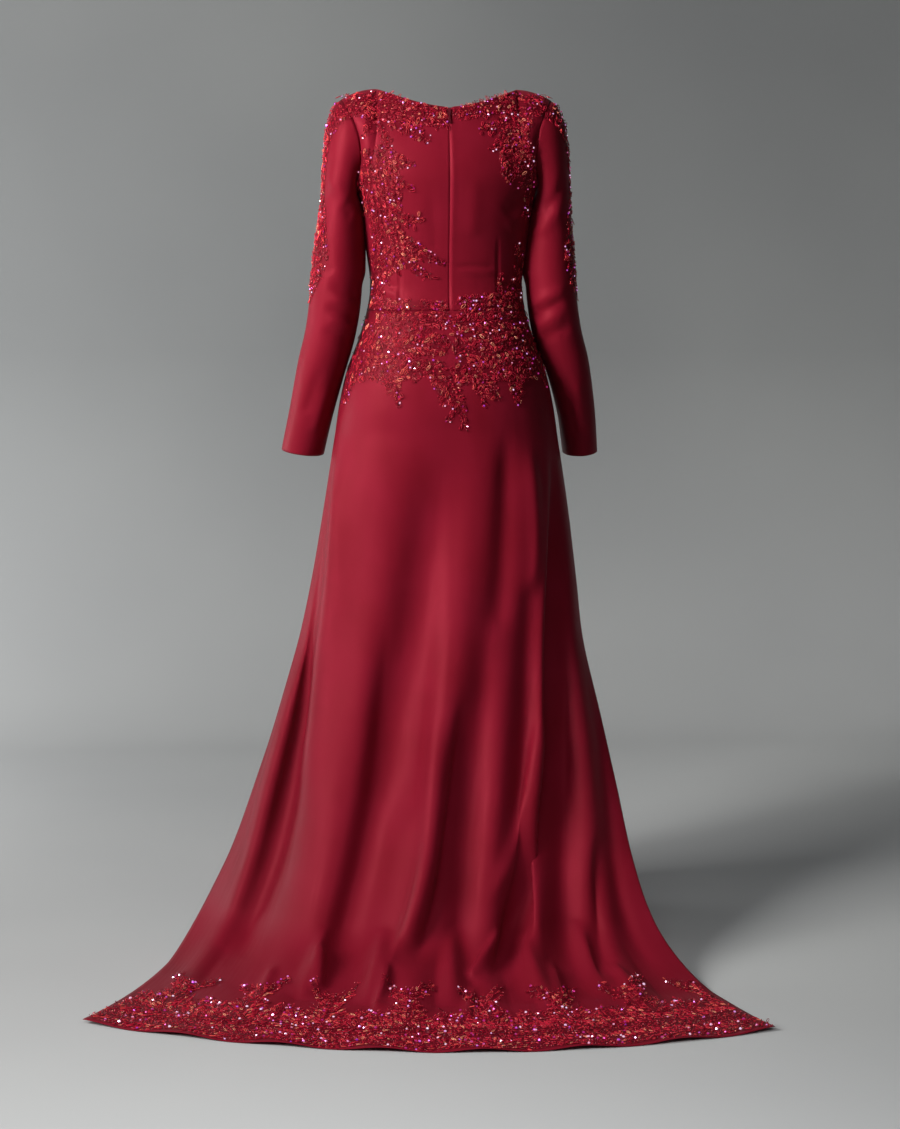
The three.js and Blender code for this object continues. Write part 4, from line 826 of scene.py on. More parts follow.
def drape_train(panel):
    """Lays the train's long folds and its short buckles on the floor into it."""
    across, down = np.linspace(-1, 1, panel.points.shape[1]), panel.v * 1000
    half = np.linalg.norm(np.diff(panel.points, axis=1), axis=2).sum(1) / 2
    a, b = across[None] * half[:, None], np.repeat(down[:, None], len(across), 1)
    amount = np.zeros(a.shape)
    for depth, start_wide, end_wide, lean, path in DRAPE:
        downs = np.linspace(path[0][0], path[-1][0], 14)
        places = smooth_line(path, 1)(downs) * np.interp(downs, down, half)
        amount += crease(a, b, np.stack([places, downs], 1), depth, start_wide, end_wide, lean)
    panel.push(amount)
    panel.points[..., 2] = np.maximum(panel.points[..., 2], CLOTH_OUTER)
    panel.find_normals()


def finish_back(panel, laps):
    """Seams of a bodice back half: its edge at the zip and the stitching, waist seam, bound neckline."""
    x, height = np.abs(panel.points[..., 0]), panel.points[..., 2]
    top = np.linspace(0, 1, panel.points.shape[0])[:, None] ** 12
    pulls = 0.5 + 0.5 * np.cos(height * 2 * np.pi / STITCH_PULL)
    amount = -PULL_DEEP * pulls * groove(x - LAP_WIDE, 1.5) - SEAM_DEEP * groove(height - WAIST_SEAM, 3)
    sides = SIDE_EASE * ease(x, 108, 130) * groove(height - SIDE_EASE_AT, 66)
    amount += BINDING_HIGH * ease(top, 0.55, 0.9) + sides
    if laps:
        amount += LAP_HIGH * (1 - ease(x, LAP_WIDE - 2, LAP_WIDE + 1))
    panel.push(amount)
    panel.points[..., 2] -= NECK_DIP * groove(x, 4) * ease(top, 0.4, 1)
    if laps:
        panel.points[:, 0, 0] += LAP_OVER
    crease_all(panel, panel.points[..., 0], height, BACK_CREASES)


# Cloth pieces.

# Columns and rows of each panel. Rows are those of hip, hang, bend and floor down the train, hip and hang down
# the front, below and above the armpit up a bodice, and of cap and arm down a sleeve.
TRAIN_GRID, FRONT_SKIRT_GRID = (201, 34, 112, 34, 40), (91, 30, 76)
BACK_GRID, FRONT_GRID = (64, 58, 42), (40, 46, 34)
SLEEVE_COLUMNS, SLEEVE_ROWS = 72, (24, 84)
# One degree round the arm, in millimetres.
DEGREE_MM = 0.8

train = Panel(train_points(*TRAIN_GRID), back_and_up)
drape_train(train)
back_half = bodice_points(True, *BACK_GRID)
back_left = Panel(back_half, from_axis)
back_right = Panel(mirrored(back_half), from_axis)
finish_back(back_left, False)
finish_back(back_right, True)
front_half = bodice_points(False, *FRONT_GRID)
front = Panel(np.concatenate([mirrored(front_half[:, :0:-1]), front_half], 1), from_axis)
front_skirt = Panel(front_skirt_points(*FRONT_SKIRT_GRID), from_axis)


def make_sleeve(table, side, creases):
    """A sleeve's panel with its creases: side is 1 on the wearer's left and -1 on the right."""
    arm = Arm(table)

    def outward(p):
        height = np.clip(p[..., 2], table[-1][0], table[0][0])
        return p * np.array([1, 1, 0]) - point(side * arm.x(height), arm.y(height), 0)

    rings = sleeve_points(table, SLEEVE_COLUMNS, *SLEEVE_ROWS)
    panel = Panel(rings if side > 0 else mirrored(rings), outward, True)
    around = np.linspace(0, 360, SLEEVE_COLUMNS, endpoint=False) * DEGREE_MM
    a = np.repeat(around[None], panel.points.shape[0], 0)
    crease_all(panel, a, panel.points[..., 2].copy(), creases)
    return panel


sleeve_left = make_sleeve(SLEEVE_LEFT, 1, SLEEVE_LEFT_CREASES)
sleeve_right = make_sleeve(SLEEVE_RIGHT, -1, SLEEVE_RIGHT_CREASES)


# Where lace lies.

def spray_field(sprays):
    """How far places are inside a group of sprays."""
    table = np.array(sprays, float)
    step = table[:, 2:4] - table[:, :2]

    def depth(a, b):
        a, b = np.asarray(a, float)[..., None], np.asarray(b, float)[..., None]
        along = ((a - table[:, 0]) * step[:, 0] + (b - table[:, 1]) * step[:, 1]) / (step ** 2).sum(1)
        t = np.clip(along, 0, 1)
        away = np.hypot(a - table[:, 0] - step[:, 0] * t, b - table[:, 1] - step[:, 1] * t)
        return (mix(table[:, 4], table[:, 5], t) - away).max(-1)

    return depth


class HemLine:
    """The hem on the floor: a place is its length along the hem from the middle and its distance inward."""

    def __init__(self):
        t = np.linspace(-1.02, 1.02, 400)
        self.line = np.stack([hem_x(t), hem_y(t)], 1)
        run = np.concatenate([[0], np.cumsum(np.linalg.norm(np.diff(self.line, axis=0), axis=1))])
        self.run = run - np.interp(0, t, run)
        self.ends = np.interp([-1, 1], t, self.run)

    def place(self, along, inward):
        """A place as a point on the floor, with the directions along the hem and inward there."""
        along = min(max(along, self.run[0]), self.run[-1] - 4)
        here, there = (
            np.array([np.interp(at, self.run, self.line[:, 0]), np.interp(at, self.run, self.line[:, 1])])
            for at in (along, along + 3)
        )
        ahead = unit(there - here)
        inner = np.array([ahead[1], -ahead[0]])
        if inner[1] > 0:
            inner = -inner
        return here + inner * inward, ahead, inner

    def near(self, xy):
        """Points on the floor as lengths along the hem and distances from it."""
        away = np.linalg.norm(xy[..., None, :] - self.line, axis=-1)
        nearest = away.argmin(-1)
        return self.run[nearest], away.min(-1)


# Below this height the train's lace is the hem's, and above the other the hip's can lie.
FLOOR_HIGH, HIP_LOW = 95, 780
hem = HemLine()
hem_sprays = [
    (HEM_FIRST + HEM_REPEAT * number + a0, b0, HEM_FIRST + HEM_REPEAT * number + a1, b1, from_wide, to_wide)
    for number in HEM_NUMBERS for a0, b0, a1, b1, from_wide, to_wide in HEM_MOTIF
]
sleeve_middle, sleeve_spread = smooth_line(LACE_SLEEVE, 1), smooth_line(LACE_SLEEVE, 2)


def sleeve_field(a, b):
    """How far a place on a sleeve, in millimetres round it and in height, is inside its lace."""
    away = np.abs(np.asarray(a) / DEGREE_MM - sleeve_middle(b))
    return np.minimum(DEGREE_MM * (sleeve_spread(b) - away), np.asarray(b) - LACE_SLEEVE[-1][0])


def net_and_shade_on_body(panel, sprays):
    """Where netting lies under the lace of a panel, darkened partly as painted shade between the cords: 1 under
    it, 0 elsewhere.
    """
    return ease(spray_field(sprays)(panel.points[..., 0], panel.points[..., 2]), 0, 5)


def net_and_shade_on_sleeve(panel):
    degrees = np.linspace(0, 360, SLEEVE_COLUMNS, endpoint=False)
    degrees = np.where(degrees > 180, degrees - 360, degrees)
    return ease(sleeve_field(degrees[None] * DEGREE_MM, panel.points[..., 2]), 0, 5)


def net_and_shade_on_train(panel):
    height = panel.points[..., 2]
    net = net_and_shade_on_body(panel, LACE_HIP) * (height > SLIT_TOP - 60)
    low = height[:, 0] < FLOOR_HIGH
    along, inward = hem.near(panel.points[low][..., :2])
    net[low] = ease(spray_field(hem_sprays)(along, inward), 3, 10) * ease(inward, 2, 9)
    return net


SHEER_MOST = 0.13


def sheer_sides(panel):
    """How much light the train's single layers let through, beyond the wearer's legs on both sides."""
    across = np.linspace(-1, 1, panel.points.shape[1])[None]
    height = panel.points[..., 2]
    side = ease(across, 0.62, 0.7) + ease(-across, 0.64, 0.72) * (1 - ease(-across, 0.9, 0.97))
    return SHEER_MOST * side * ease(SLIT_TOP - height, 300, 420) * ease(height, 20, 90)


# Shells of cloth.

# Each panel's node, its panel of cloth, and where netting, carrying painted shade between the cords, lies under
# its lace.
front_right_sprays = [(-a0, b0, -a1, b1, w0, w1) for a0, b0, a1, b1, w0, w1 in LACE_FRONT_SHOULDER]
cloth = {}
for node, panel, net in (
    ("bodice_back_left", back_left, net_and_shade_on_body(back_left, LACE_BACK_LEFT)),
    ("bodice_back_right", back_right, net_and_shade_on_body(back_right, LACE_BACK_RIGHT + LACE_WAIST_RIGHT)),
    ("bodice_front", front, net_and_shade_on_body(front, LACE_FRONT_SHOULDER + front_right_sprays)),
    ("skirt_back", train, net_and_shade_on_train(train)),
    ("skirt_front", front_skirt, net_and_shade_on_body(front_skirt, LACE_HIP_FRONT)),
    ("sleeve_left", sleeve_left, net_and_shade_on_sleeve(sleeve_left)),
    ("sleeve_right", sleeve_right, net_and_shade_on_sleeve(sleeve_right)),
):
    shades = {"net": net}
    if node == "skirt_back":
        shades["sheer"] = sheer_sides(train)
    cloth[node] = shell("cloth_" + node, panel, satin, shades)
    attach(cloth[node], "gown")
    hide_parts(node)


# Lace.

# A steep cloth is taken to lean this much at least where lace is laid on it, and to slide this far at most.
LEAST_LEAN, MOST_SLIDE = 0.25, 6


class Ground:
    """The face of a panel that lace is sewn on, found from two or three coordinates such as x and height."""

    def __init__(self, panel, axes, low=-1e9, high=1e9):
        points = panel.points.reshape(-1, 3)
        keep = (points[:, 2] > low) & (points[:, 2] < high)
        self.points, self.normals = points[keep], panel.normals.reshape(-1, 3)[keep]
        self.axes = list(axes)
        self.missing = ({0, 1, 2} - set(axes)).pop() if len(self.axes) == 2 else None
        self.tree = kdtree.KDTree(len(self.points))
        for i, p in enumerate(self.points):
            self.tree.insert([*p[self.axes], 0][:3], i)
        self.tree.balance()

    def lay(self, place):
        """The point of the cloth at these coordinates and the cloth's normal there."""
        i = self.tree.find([*place, 0][:3])[1]
        p, n = self.points[i].copy(), self.normals[i]
        if self.missing is None:
            away = np.asarray(place) - p
            return p + away - n * (away @ n), n
        step = np.asarray(place) - p[self.axes]
        steep = n[self.missing]
        if abs(steep) <= LEAST_LEAN:
            steep = math.copysign(LEAST_LEAN, steep)
        p[self.axes] += step
        p[self.missing] -= np.clip((n[self.axes] @ step) / steep, -MOST_SLIDE, MOST_SLIDE)
        return p, n

    def off(self, place):
        """How far a place is from the nearest point of the cloth, along the cloth."""
        i = self.tree.find([*place, 0][:3])[1]
        away = np.asarray(place) - self.points[i][self.axes]
        if self.missing is None:
            away = away - self.normals[i] * (away @ self.normals[i])
        return float(np.linalg.norm(away))


# Sizes of what is sewn on: a petal loop and its cord, a curl, a leaf, a bugle, and the rings (radius, height)
# of a bead and of a cut stone. A leaf's stations are place along it, half width and height.
PETAL_LONG, PETAL_WIDE, PETAL_POINTS, CORD_RADIUS, CORD_SIDES = 11, 5.2, 8, 0.66, 3
CURL_LONG, CURL_SWING, LEAF_LONG, BUGLE_LONG, BUGLE_RADIUS = 8, 2.0, 5.8, 4.4, 0.75
LEAF_STATIONS = [(0.25, 1.2, 0.9), (0.55, 1.5, 1.2), (0.82, 0.9, 1.0)]
BEAD_RINGS = [(0.7, 0.2), (1.15, 1.05), (0.7, 1.9)]
CRYSTAL_RINGS = [(1.4, 0), (1.75, 0.6), (0.9, 1.7)]


def swept(path, radius, sides, closed):
    """A cord along a path in the XY plane."""
    path = np.asarray(path, float)
    ahead = np.roll(path, -1, 0) - np.roll(path, 1, 0) if closed else np.gradient(path, axis=0)
    ahead = unit(ahead)
    side = np.stack([-ahead[:, 1], ahead[:, 0], 0 * ahead[:, 0]], 1)
    turn = np.arange(sides) / sides * 2 * np.pi + np.pi / 2
    verts = (path[:, None] + side[:, None] * np.cos(turn)[None, :, None] * radius
             + np.array([0, 0, 1.0]) * (np.sin(turn)[None, :, None] + 0.8) * radius)
    count = len(path)
    faces = []
    for i in range(count if closed else count - 1):
        for j in range(sides):
            k, after = (j + 1) % sides, (i + 1) % count
            faces.append((i * sides + j, i * sides + k, after * sides + k, after * sides + j))
    if not closed:
        faces += [tuple(range(sides))[::-1], tuple((count - 1) * sides + j for j in range(sides))]
    return verts.reshape(-1, 3), faces


def petal_shape():
    """A loop of cord in the form of a narrow petal, from its foot."""
    turn = np.arange(PETAL_POINTS) / PETAL_POINTS * 2 * np.pi
    x = PETAL_LONG / 2 * (1 - np.cos(turn))
    y = PETAL_WIDE / 2 * np.sin(turn) * np.sin(turn / 2) ** 0.7
    return swept(np.stack([x, y, 0 * x], 1), CORD_RADIUS, CORD_SIDES, True)


def curl_shape():
    """A short cord that swings once to each side."""
    t = np.linspace(0, 1, 6)
    path = np.stack([CURL_LONG * (t - 0.5), CURL_SWING * np.sin(2 * np.pi * t), 0 * t], 1)
    return swept(path, CORD_RADIUS, CORD_SIDES, False)


def leaf_shape():
    """A small padded leaf, from its foot."""
    verts, faces = [(0, 0, 0.4)], []
    for share, wide, high in LEAF_STATIONS:
        x = LEAF_LONG * share
        verts += [(x, wide, 0.4), (x, 0, high), (x, -wide, 0.4), (x, 0, 0)]
    verts.append((LEAF_LONG, 0, 0.5))
    for j in range(4):
        k = (j + 1) % 4
        faces += [(0, 1 + j, 1 + k), (1 + j, 5 + j, 5 + k, 1 + k)]
        faces += [(5 + j, 9 + j, 9 + k, 5 + k), (9 + j, 13, 9 + k)]
    return np.array(verts, float), faces


def turned_shape(rings, sides):
    """A bead or stone as rings of (radius, height), closed flat at both ends."""
    turn = np.arange(sides) / sides * 2 * np.pi
    verts = [(r * math.cos(a), r * math.sin(a), z) for r, z in rings for a in turn]
    last = (len(rings) - 1) * sides
    faces = [tuple(range(sides))[::-1], tuple(last + j for j in range(sides))]
    for ring in range(len(rings) - 1):
        for j in range(sides):
            k = (j + 1) % sides
            low, high = ring * sides, (ring + 1) * sides
            faces.append((low + j, low + k, high + k, high + j))
    return np.array(verts), faces


PETAL, LEAF, BEAD, CRYSTAL, BUGLE, CURL = range(6)
CORDS = (PETAL, LEAF, CURL)
# Name, mesh, material and the input that sizes it.
ELEMENTS = [
    ("petal", petal_shape(), cord_material, "Cord size"),
    ("leaf", leaf_shape(), cord_material, "Cord size"),
    ("bead", turned_shape(BEAD_RINGS, 5), bead_material, "Bead size"),
    ("crystal", turned_shape(CRYSTAL_RINGS, 7), crystal_material, "Crystal size"),
    ("bugle", swept([(0, 0, 0), (BUGLE_LONG, 0, 0)], BUGLE_RADIUS, 4, False), bead_material, "Bead size"),
    ("curl", curl_shape(), cord_material, "Cord size"),
]


def lace_tree(elements):
    """Sews an element on each point. Its kind, turn and size are the point's own, the rest are inputs."""
    tree = bpy.data.node_groups.new("beaded_lace", "GeometryNodeTree")
    face = tree.interface
    face.new_socket("Points", in_out="INPUT", socket_type="NodeSocketGeometry")
    inputs = {}
    for name in ("Cord size", "Bead size", "Crystal size", "Unevenness"):
        inputs[name] = face.new_socket(name, in_out="INPUT", socket_type="NodeSocketFloat").identifier
    inputs["Seed"] = face.new_socket("Seed", in_out="INPUT", socket_type="NodeSocketInt").identifier
    face.new_socket("Lace", in_out="OUTPUT", socket_type="NodeSocketGeometry")
    source = add_node(tree, "NodeGroupInput").outputs
    kind = add_node(tree, "GeometryNodeInputNamedAttribute", {"data_type": "INT", "Name": "kind"})
    turn = add_node(tree, "GeometryNodeInputNamedAttribute", {"data_type": "FLOAT_VECTOR", "Name": "turn"})
    size = add_node(tree, "GeometryNodeInputNamedAttribute", {"data_type": "FLOAT_VECTOR", "Name": "size"})
    turned = add_node(tree, "FunctionNodeEulerToRotation", _0=turn.outputs["Attribute"])
    chance = add_node(tree, "FunctionNodeRandomValue", {"data_type": "FLOAT", "_2": -1.0, "_3": 1.0},
                      Seed=source["Seed"])
    uneven = add_node(tree, "ShaderNodeMath", {"operation": "MULTIPLY_ADD", "_2": 1.0},
                      _0=chance.outputs[1], _1=source["Unevenness"])
    joined = add_node(tree, "GeometryNodeJoinGeometry")
    for number, (name, _, material, family) in enumerate(ELEMENTS):
        same = add_node(tree, "FunctionNodeCompare", {"data_type": "INT", "operation": "EQUAL", "_3": number},
                        _2=kind.outputs["Attribute"])
        factor = add_node(tree, "ShaderNodeMath", {"operation": "MULTIPLY"},
                          _0=uneven.outputs[0], _1=source[family])
        scaled = add_node(tree, "ShaderNodeVectorMath", {"operation": "SCALE"},
                          _0=size.outputs["Attribute"], Scale=factor.outputs[0])
        shape = add_node(tree, "GeometryNodeObjectInfo", {"Object": elements[number]})
        sewn = add_node(tree, "GeometryNodeInstanceOnPoints", Points=source["Points"],
                        Selection=same.outputs["Result"], Instance=shape.outputs["Geometry"],
                        Rotation=turned.outputs["Rotation"], Scale=scaled.outputs["Vector"])
        real = add_node(tree, "GeometryNodeRealizeInstances", Geometry=sewn.outputs["Instances"])
        dressed = add_node(tree, "GeometryNodeSetMaterial", {"Material": material},
                           Geometry=real.outputs["Geometry"])
        tree.links.new(dressed.outputs["Geometry"], joined.inputs["Geometry"])
    add_node(tree, "NodeGroupOutput", Lace=joined.outputs["Geometry"])
    return tree, inputs


class Placed:
    """What has been sewn on so far, in flat coordinates, so that things of one kind keep apart."""

    def __init__(self, cell=6.0):
        self.cell, self.cells, self.rows = cell, {}, []

    def clear(self, a, b, away):
        i, j = int(a // self.cell), int(b // self.cell)
        reach = int(away // self.cell) + 1
        for p in range(i - reach, i + reach + 1):
            for q in range(j - reach, j + reach + 1):
                for other_a, other_b in self.cells.get((p, q), ()):
                    if (other_a - a) ** 2 + (other_b - b) ** 2 < away * away:
                        return False
        return True

    def add(self, kind, a, b, turn, size, lift=0.0, pitch=0.0, tint=0.5):
        self.cells.setdefault((int(a // self.cell), int(b // self.cell)), []).append((a, b))
        self.rows.append((kind, a, b, turn, size, lift, pitch, tint))


# How light the cords and the flowers are, and the share of each.
CORD_TINTS, CORD_SHARES = [0.0, 0.13, 0.26, 0.42, 0.64], [0.2, 0.33, 0.26, 0.14, 0.07]
FLOWER_TINTS, FLOWER_SHARES = [0.06, 0.18, 0.34, 0.58], [0.26, 0.34, 0.26, 0.14]
# The radius of a flower's ring of beads, and the distance between the stitches of a stem.
BEAD_RING, STEM_STEP = 3.1, 4.6
# Distance between the filling's small holes, its shares of petals, leaves, beads, crystals, bugles, curls.
HOLE_APART = 27.0
FILLING_SHARES = (0.22, 0.09, 0.34, 0.085, 0.03, 0.235)
LACE_SIZES = {"Cord size": 1.0, "Bead size": 1.0, "Crystal size": 1.0, "Unevenness": 0.12}
HEM_SIZES = {"Cord size": 0.88, "Bead size": 1.1, "Crystal size": 1.3, "Unevenness": 0.2}
# Distance between what fills the lace on the body, front, sleeves and hem, how far it stands up from the cloth,
# and how far beyond the cloth's points lace may still lie.
BODY_SPACING, FRONT_SPACING, SLEEVE_SPACING, HEM_SPACING = 3.0, 5.5, 3.4, 3.9
BODY_RISE, SLEEVE_RISE, HEM_RISE = 0.4, 0.6, 2.4
BODY_REACH, SLEEVE_REACH, HEM_REACH = 4.2, 6, 5
# Where the filling is tried: on the bodice, the hip and a sleeve, and how deep in from the hem.
BODICE_BOX, HIP_BOX = (-180, 1062, 180, 1430), (-190, 850, 190, 1061)
SLEEVE_BOX, HEM_DEPTH = (-60, 1060, 60, 1410), 290


def cord_tint(rng):
    """How light a cord is: most are the cloth's red, some are coral, a few are gold."""
    return rng.choice(CORD_TINTS, p=CORD_SHARES) + rng.uniform(-0.06, 0.06)


def sew_flower(placed, rng, a, b, radius):
    """Narrow petal loops of uneven length round a ring of beads, with a crystal in the middle."""
    petals = 9 if radius > 12 else 7
    first, tint = rng.uniform(0, 2 * math.pi), rng.choice(FLOWER_TINTS, p=FLOWER_SHARES)
    inner = 0.24 * radius
    for i in range(petals):
        turn = first + 2 * math.pi * i / petals + rng.uniform(-0.18, 0.18)
        long = (radius - inner) * rng.uniform(0.7, 1.15)
        placed.add(PETAL, a + inner * math.cos(turn), b + inner * math.sin(turn), turn, long / PETAL_LONG,
                   0.5, rng.uniform(0.1, 0.3), tint + rng.uniform(-0.12, 0.16))
        if rng.random() < 0.6:
            far, off = inner + long * 0.9, turn + rng.uniform(-0.3, 0.3)
            tip_a, tip_b = a + far * math.cos(off), b + far * math.sin(off)
            placed.add(BEAD, tip_a, tip_b, turn, 0.8, 0.6, 0, rng.random())
    placed.add(CRYSTAL, a, b, first, 0.9, 0.8, rng.uniform(-0.2, 0.2), rng.random())
    for i in range(6):
        turn = first + 2 * math.pi * i / 6
        ring_a, ring_b = a + BEAD_RING * math.cos(turn), b + BEAD_RING * math.sin(turn)
        placed.add(BEAD, ring_a, ring_b, turn, 0.75, 0.5, 0, rng.random() * 0.7)


def sew_spray(placed, rng, spray, inside):
    """A stem with loops, leaves and beads on both sides, flowers where it is wide, and a drop at its tip."""
    a0, b0, a1, b1, from_wide, to_wide = spray
    long = math.hypot(a1 - a0, b1 - b0)
    ahead = math.atan2(b1 - b0, a1 - a0)
    along, over = (math.cos(ahead), math.sin(ahead)), (-math.sin(ahead), math.cos(ahead))
    sway = rng.uniform(-1, 1) * min(5.0, long * 0.05)

    def spot(done, off):
        bent = off + sway * math.sin(done / long * 2 * math.pi)
        return a0 + along[0] * done + over[0] * bent, b0 + along[1] * done + over[1] * bent

    done = rng.uniform(4, 12)
    while done < long:
        wide = mix(from_wide, to_wide, done / long)
        a, b = spot(done, rng.uniform(-0.4, 0.4) * max(wide - 10, 0))
        radius = min(max(wide * 0.7, 8), 14) * rng.uniform(0.85, 1.1)
        if wide > 11 and placed.clear(a, b, radius * 1.1) and inside(a, b) > radius * 0.5:
            sew_flower(placed, rng, a, b, radius)
        done += rng.uniform(20, 28)
    done = 1.0
    while done < long + to_wide * 0.4:
        a, b = spot(done, rng.uniform(-0.6, 0.6))
        narrow = mix(from_wide, to_wide, min(done / long, 1)) < 12
        if narrow and placed.clear(a, b, 2.2) and inside(a, b) > 0:
            kind = CURL if rng.random() < 0.6 else BUGLE
            placed.add(kind, a, b, ahead + rng.uniform(-0.3, 0.3), 0.8, 0.2, 0, rng.random() * 0.5)
        done += STEM_STEP
    done = 2.0
    while done < long + to_wide * 0.3:
        wide = mix(from_wide, to_wide, min(done / long, 1))
        for side in (-1, 1):
            layers = max(1, round(wide / 8))
            for layer in range(layers):
                turn = ahead + side * rng.uniform(0.5, 1.25)
                size = rng.uniform(0.55, 0.95) if wide > 8 else rng.uniform(0.4, 0.62)
                a, b = spot(done + rng.uniform(-2, 2), side * (wide * layer / layers * 0.95 + 0.6))
                reach = 8 * size
                tip_a, tip_b = a + reach * math.cos(turn), b + reach * math.sin(turn)
                if placed.clear(a, b, 2.5) and inside(a, b) > -1 and inside(tip_a, tip_b) > -1.5:
                    kind = PETAL if rng.random() < 0.66 else LEAF
                    lift, pitch = rng.uniform(0, 0.4), rng.uniform(0, 0.2)
                    placed.add(kind, a, b, turn, size, lift, pitch, cord_tint(rng))
                    if rng.random() < 0.3:
                        placed.add(BEAD, tip_a, tip_b, turn, 0.85, 0.5, 0, rng.random())
        done += rng.uniform(4.8, 6.4)
    a, b = spot(long + to_wide * 0.55, 0)
    if inside(a, b) > -2.5:
        placed.add(CRYSTAL if rng.random() < 0.45 else BEAD, a, b, ahead, 0.9, 0.3, 0, rng.random())


def sew_filling(placed, rng, field, allowed, box, spacing, rise):
    """Curls, loops and beads wherever the lace still shows cloth. rise is how far they stand up from it."""
    low_a, low_b, high_a, high_b = box
    tries = int((high_a - low_a) * (high_b - low_b) / spacing ** 2 * 5)
    places_a, places_b = rng.uniform(low_a, high_a, tries), rng.uniform(low_b, high_b, tries)
    keep = field(places_a, places_b) > 0.8
    holes = int((high_a - low_a) * (high_b - low_b) / HOLE_APART ** 2)
    holes_a, holes_b = rng.uniform(low_a, high_a, holes), rng.uniform(low_b, high_b, holes)
    for a, b, wide in zip(holes_a, holes_b, rng.uniform(3, 7, holes)):
        keep &= np.hypot(places_a - a, (places_b - b) * 0.7) > wide
    for a, b in zip(places_a[keep], places_b[keep]):
        if not placed.clear(a, b, spacing) or allowed(a, b) < 0.5:
            continue
        kind = int(rng.choice(6, p=FILLING_SHARES))
        cord = kind in CORDS
        size = rng.uniform(0.55, 0.95) if cord else rng.uniform(0.7, 1.05)
        lift = rng.uniform(0, 0.8 + rise) if cord else rng.uniform(0.2, 1.2 + rise)
        pitch = rng.uniform(0, 0.15 + rise / 4) if cord else rng.uniform(-0.4, 0.4)
        placed.add(kind, a, b, rng.uniform(0, 2 * math.pi), size, lift, pitch,
                   cord_tint(rng) - 0.08 * rise if cord else rng.random())


def lace_piece(name, node, placed, locate, sizes, seed):
    """Turns the placed rows into points with their turn and size, and the points into lace."""
    spots, turns, scales, kinds, tints = [], [], [], [], []
    for kind, a, b, turn, size, lift, pitch, tint in placed.rows:
        base, normal, across, up = locate(a, b)
        ahead = across * math.cos(turn) + up * math.sin(turn)
        ahead = unit(ahead - normal * (ahead @ normal))
        side = np.cross(normal, ahead)
        tipped = ahead * math.cos(pitch) + normal * math.sin(pitch)
        above = np.cross(tipped, side)
        spots.append(to_metres(base + normal * (LACE_SEAT + lift)))
        turns.append(tuple(Matrix(np.stack([tipped, side, above], 1).tolist()).to_euler("XYZ")))
        scales.append((size, size, size))
        kinds.append(kind)
        tints.append(tint)
    mesh = bpy.data.meshes.new(name + "_points")
    mesh.from_pydata([list(p) for p in spots], [], [])
    for label, kind, values, field in (
        ("kind", "INT", kinds, "value"), ("turn", "FLOAT_VECTOR", turns, "vector"),
        ("size", "FLOAT_VECTOR", scales, "vector"), ("tint", "FLOAT", tints, "value"),
    ):
        mesh.attributes.new(label, kind, "POINT").data.foreach_set(field, np.array(values).ravel())
    carrier = bpy.data.objects.new(name + "_points", mesh)
    bpy.context.scene.collection.objects.link(carrier)
    modifier = carrier.modifiers.new("lace", "NODES")
    modifier.node_group = lace_nodes
    for label, value in sizes.items():
        modifier[lace_inputs[label]] = float(value)
    modifier[lace_inputs["Seed"]] = seed
    carrier.update_tag()
    evaluated = carrier.evaluated_get(bpy.context.evaluated_depsgraph_get())
    made = bpy.data.objects.new(name, bpy.data.meshes.new_from_object(evaluated))
    made.data.name = name
    bpy.context.scene.collection.objects.link(made)
    bpy.data.objects.remove(carrier)
    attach(made, "gown")
    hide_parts(node)
    return made


RIGHTWARDS, UPWARDS = np.array([1.0, 0, 0]), np.array([0, 0, 1.0])
armhole_loop = armhole_point(np.linspace(0, 2 * np.pi, 61))


def off_armhole(p):
    """How far a point of the cloth is from the armhole on its side."""
    left = p * np.array([math.copysign(1, p[0]), 1, 1])
    return float(np.linalg.norm(armhole_loop - left, axis=1).min())


def body_lace(name, node, ground, sprays, box, seed, spacing=BODY_SPACING):
    """Lace on the bodice or hip, kept off the waist seam, the side seams, the zip and the armholes."""
    rng = np.random.default_rng(seed)
    field = spray_field(sprays)
    on_bodice = box[1] >= WAIST_SEAM

    def allowed(a, b):
        base, _ = ground.lay((a, b))
        off_edge = BODY_REACH - ground.off((a, b))
        if b < ARMPIT:
            off_edge = min(off_edge, torso_half(b) - 1.5 - abs(a))
        if on_bodice:
            return min(abs(a) - 3, b - WAIST_SEAM - 1, off_armhole(base) - 4, off_edge)
        return min(WAIST_SEAM - 2 - b, abs(base[1]) - 2, off_edge)

    def inside(a, b):
        return min(float(field(a, b)), allowed(a, b))

    def locate(a, b):
        base, normal = ground.lay((a, b))
        return base, normal, RIGHTWARDS, UPWARDS

    placed = Placed()
    for spray in sprays:
        sew_spray(placed, rng, spray, inside)
    sew_filling(placed, rng, field, allowed, box, spacing, BODY_RISE)
    return lace_piece(name, node, placed, locate, LACE_SIZES, seed)


def hem_lace(name, low, high, seed):
    """A part of the train's border, scalloped at the hem, with a mound and a forked sprig to each scallop."""
    rng = np.random.default_rng(seed)
    field = spray_field(hem_sprays)

    def allowed(a, b):
        swing = math.cos((a - HEM_FIRST) / HEM_REPEAT * 2 * math.pi)
        place, _, _ = hem.place(a, b)
        return min(b - (4.0 - 8.0 * swing), a - low, high - a, HEM_REACH - hem_ground.off(place))

    def inside(a, b):
        return min(float(field(a, b)), allowed(a, b))

    def locate(a, b):
        place, ahead, inner = hem.place(a, b)
        base, normal = hem_ground.lay(tuple(place))
        return base, normal, np.array([*ahead, 0]), np.array([*inner, 0])

    placed = Placed()
    for spray in hem_sprays:
        if low - 80 < (spray[0] + spray[2]) / 2 < high + 80:
            sew_spray(placed, rng, spray, inside)
    sew_filling(placed, rng, field, allowed, (low, -6, high, HEM_DEPTH), HEM_SPACING, HEM_RISE)
    return lace_piece(name, "lace_hem", placed, locate, HEM_SIZES, seed)


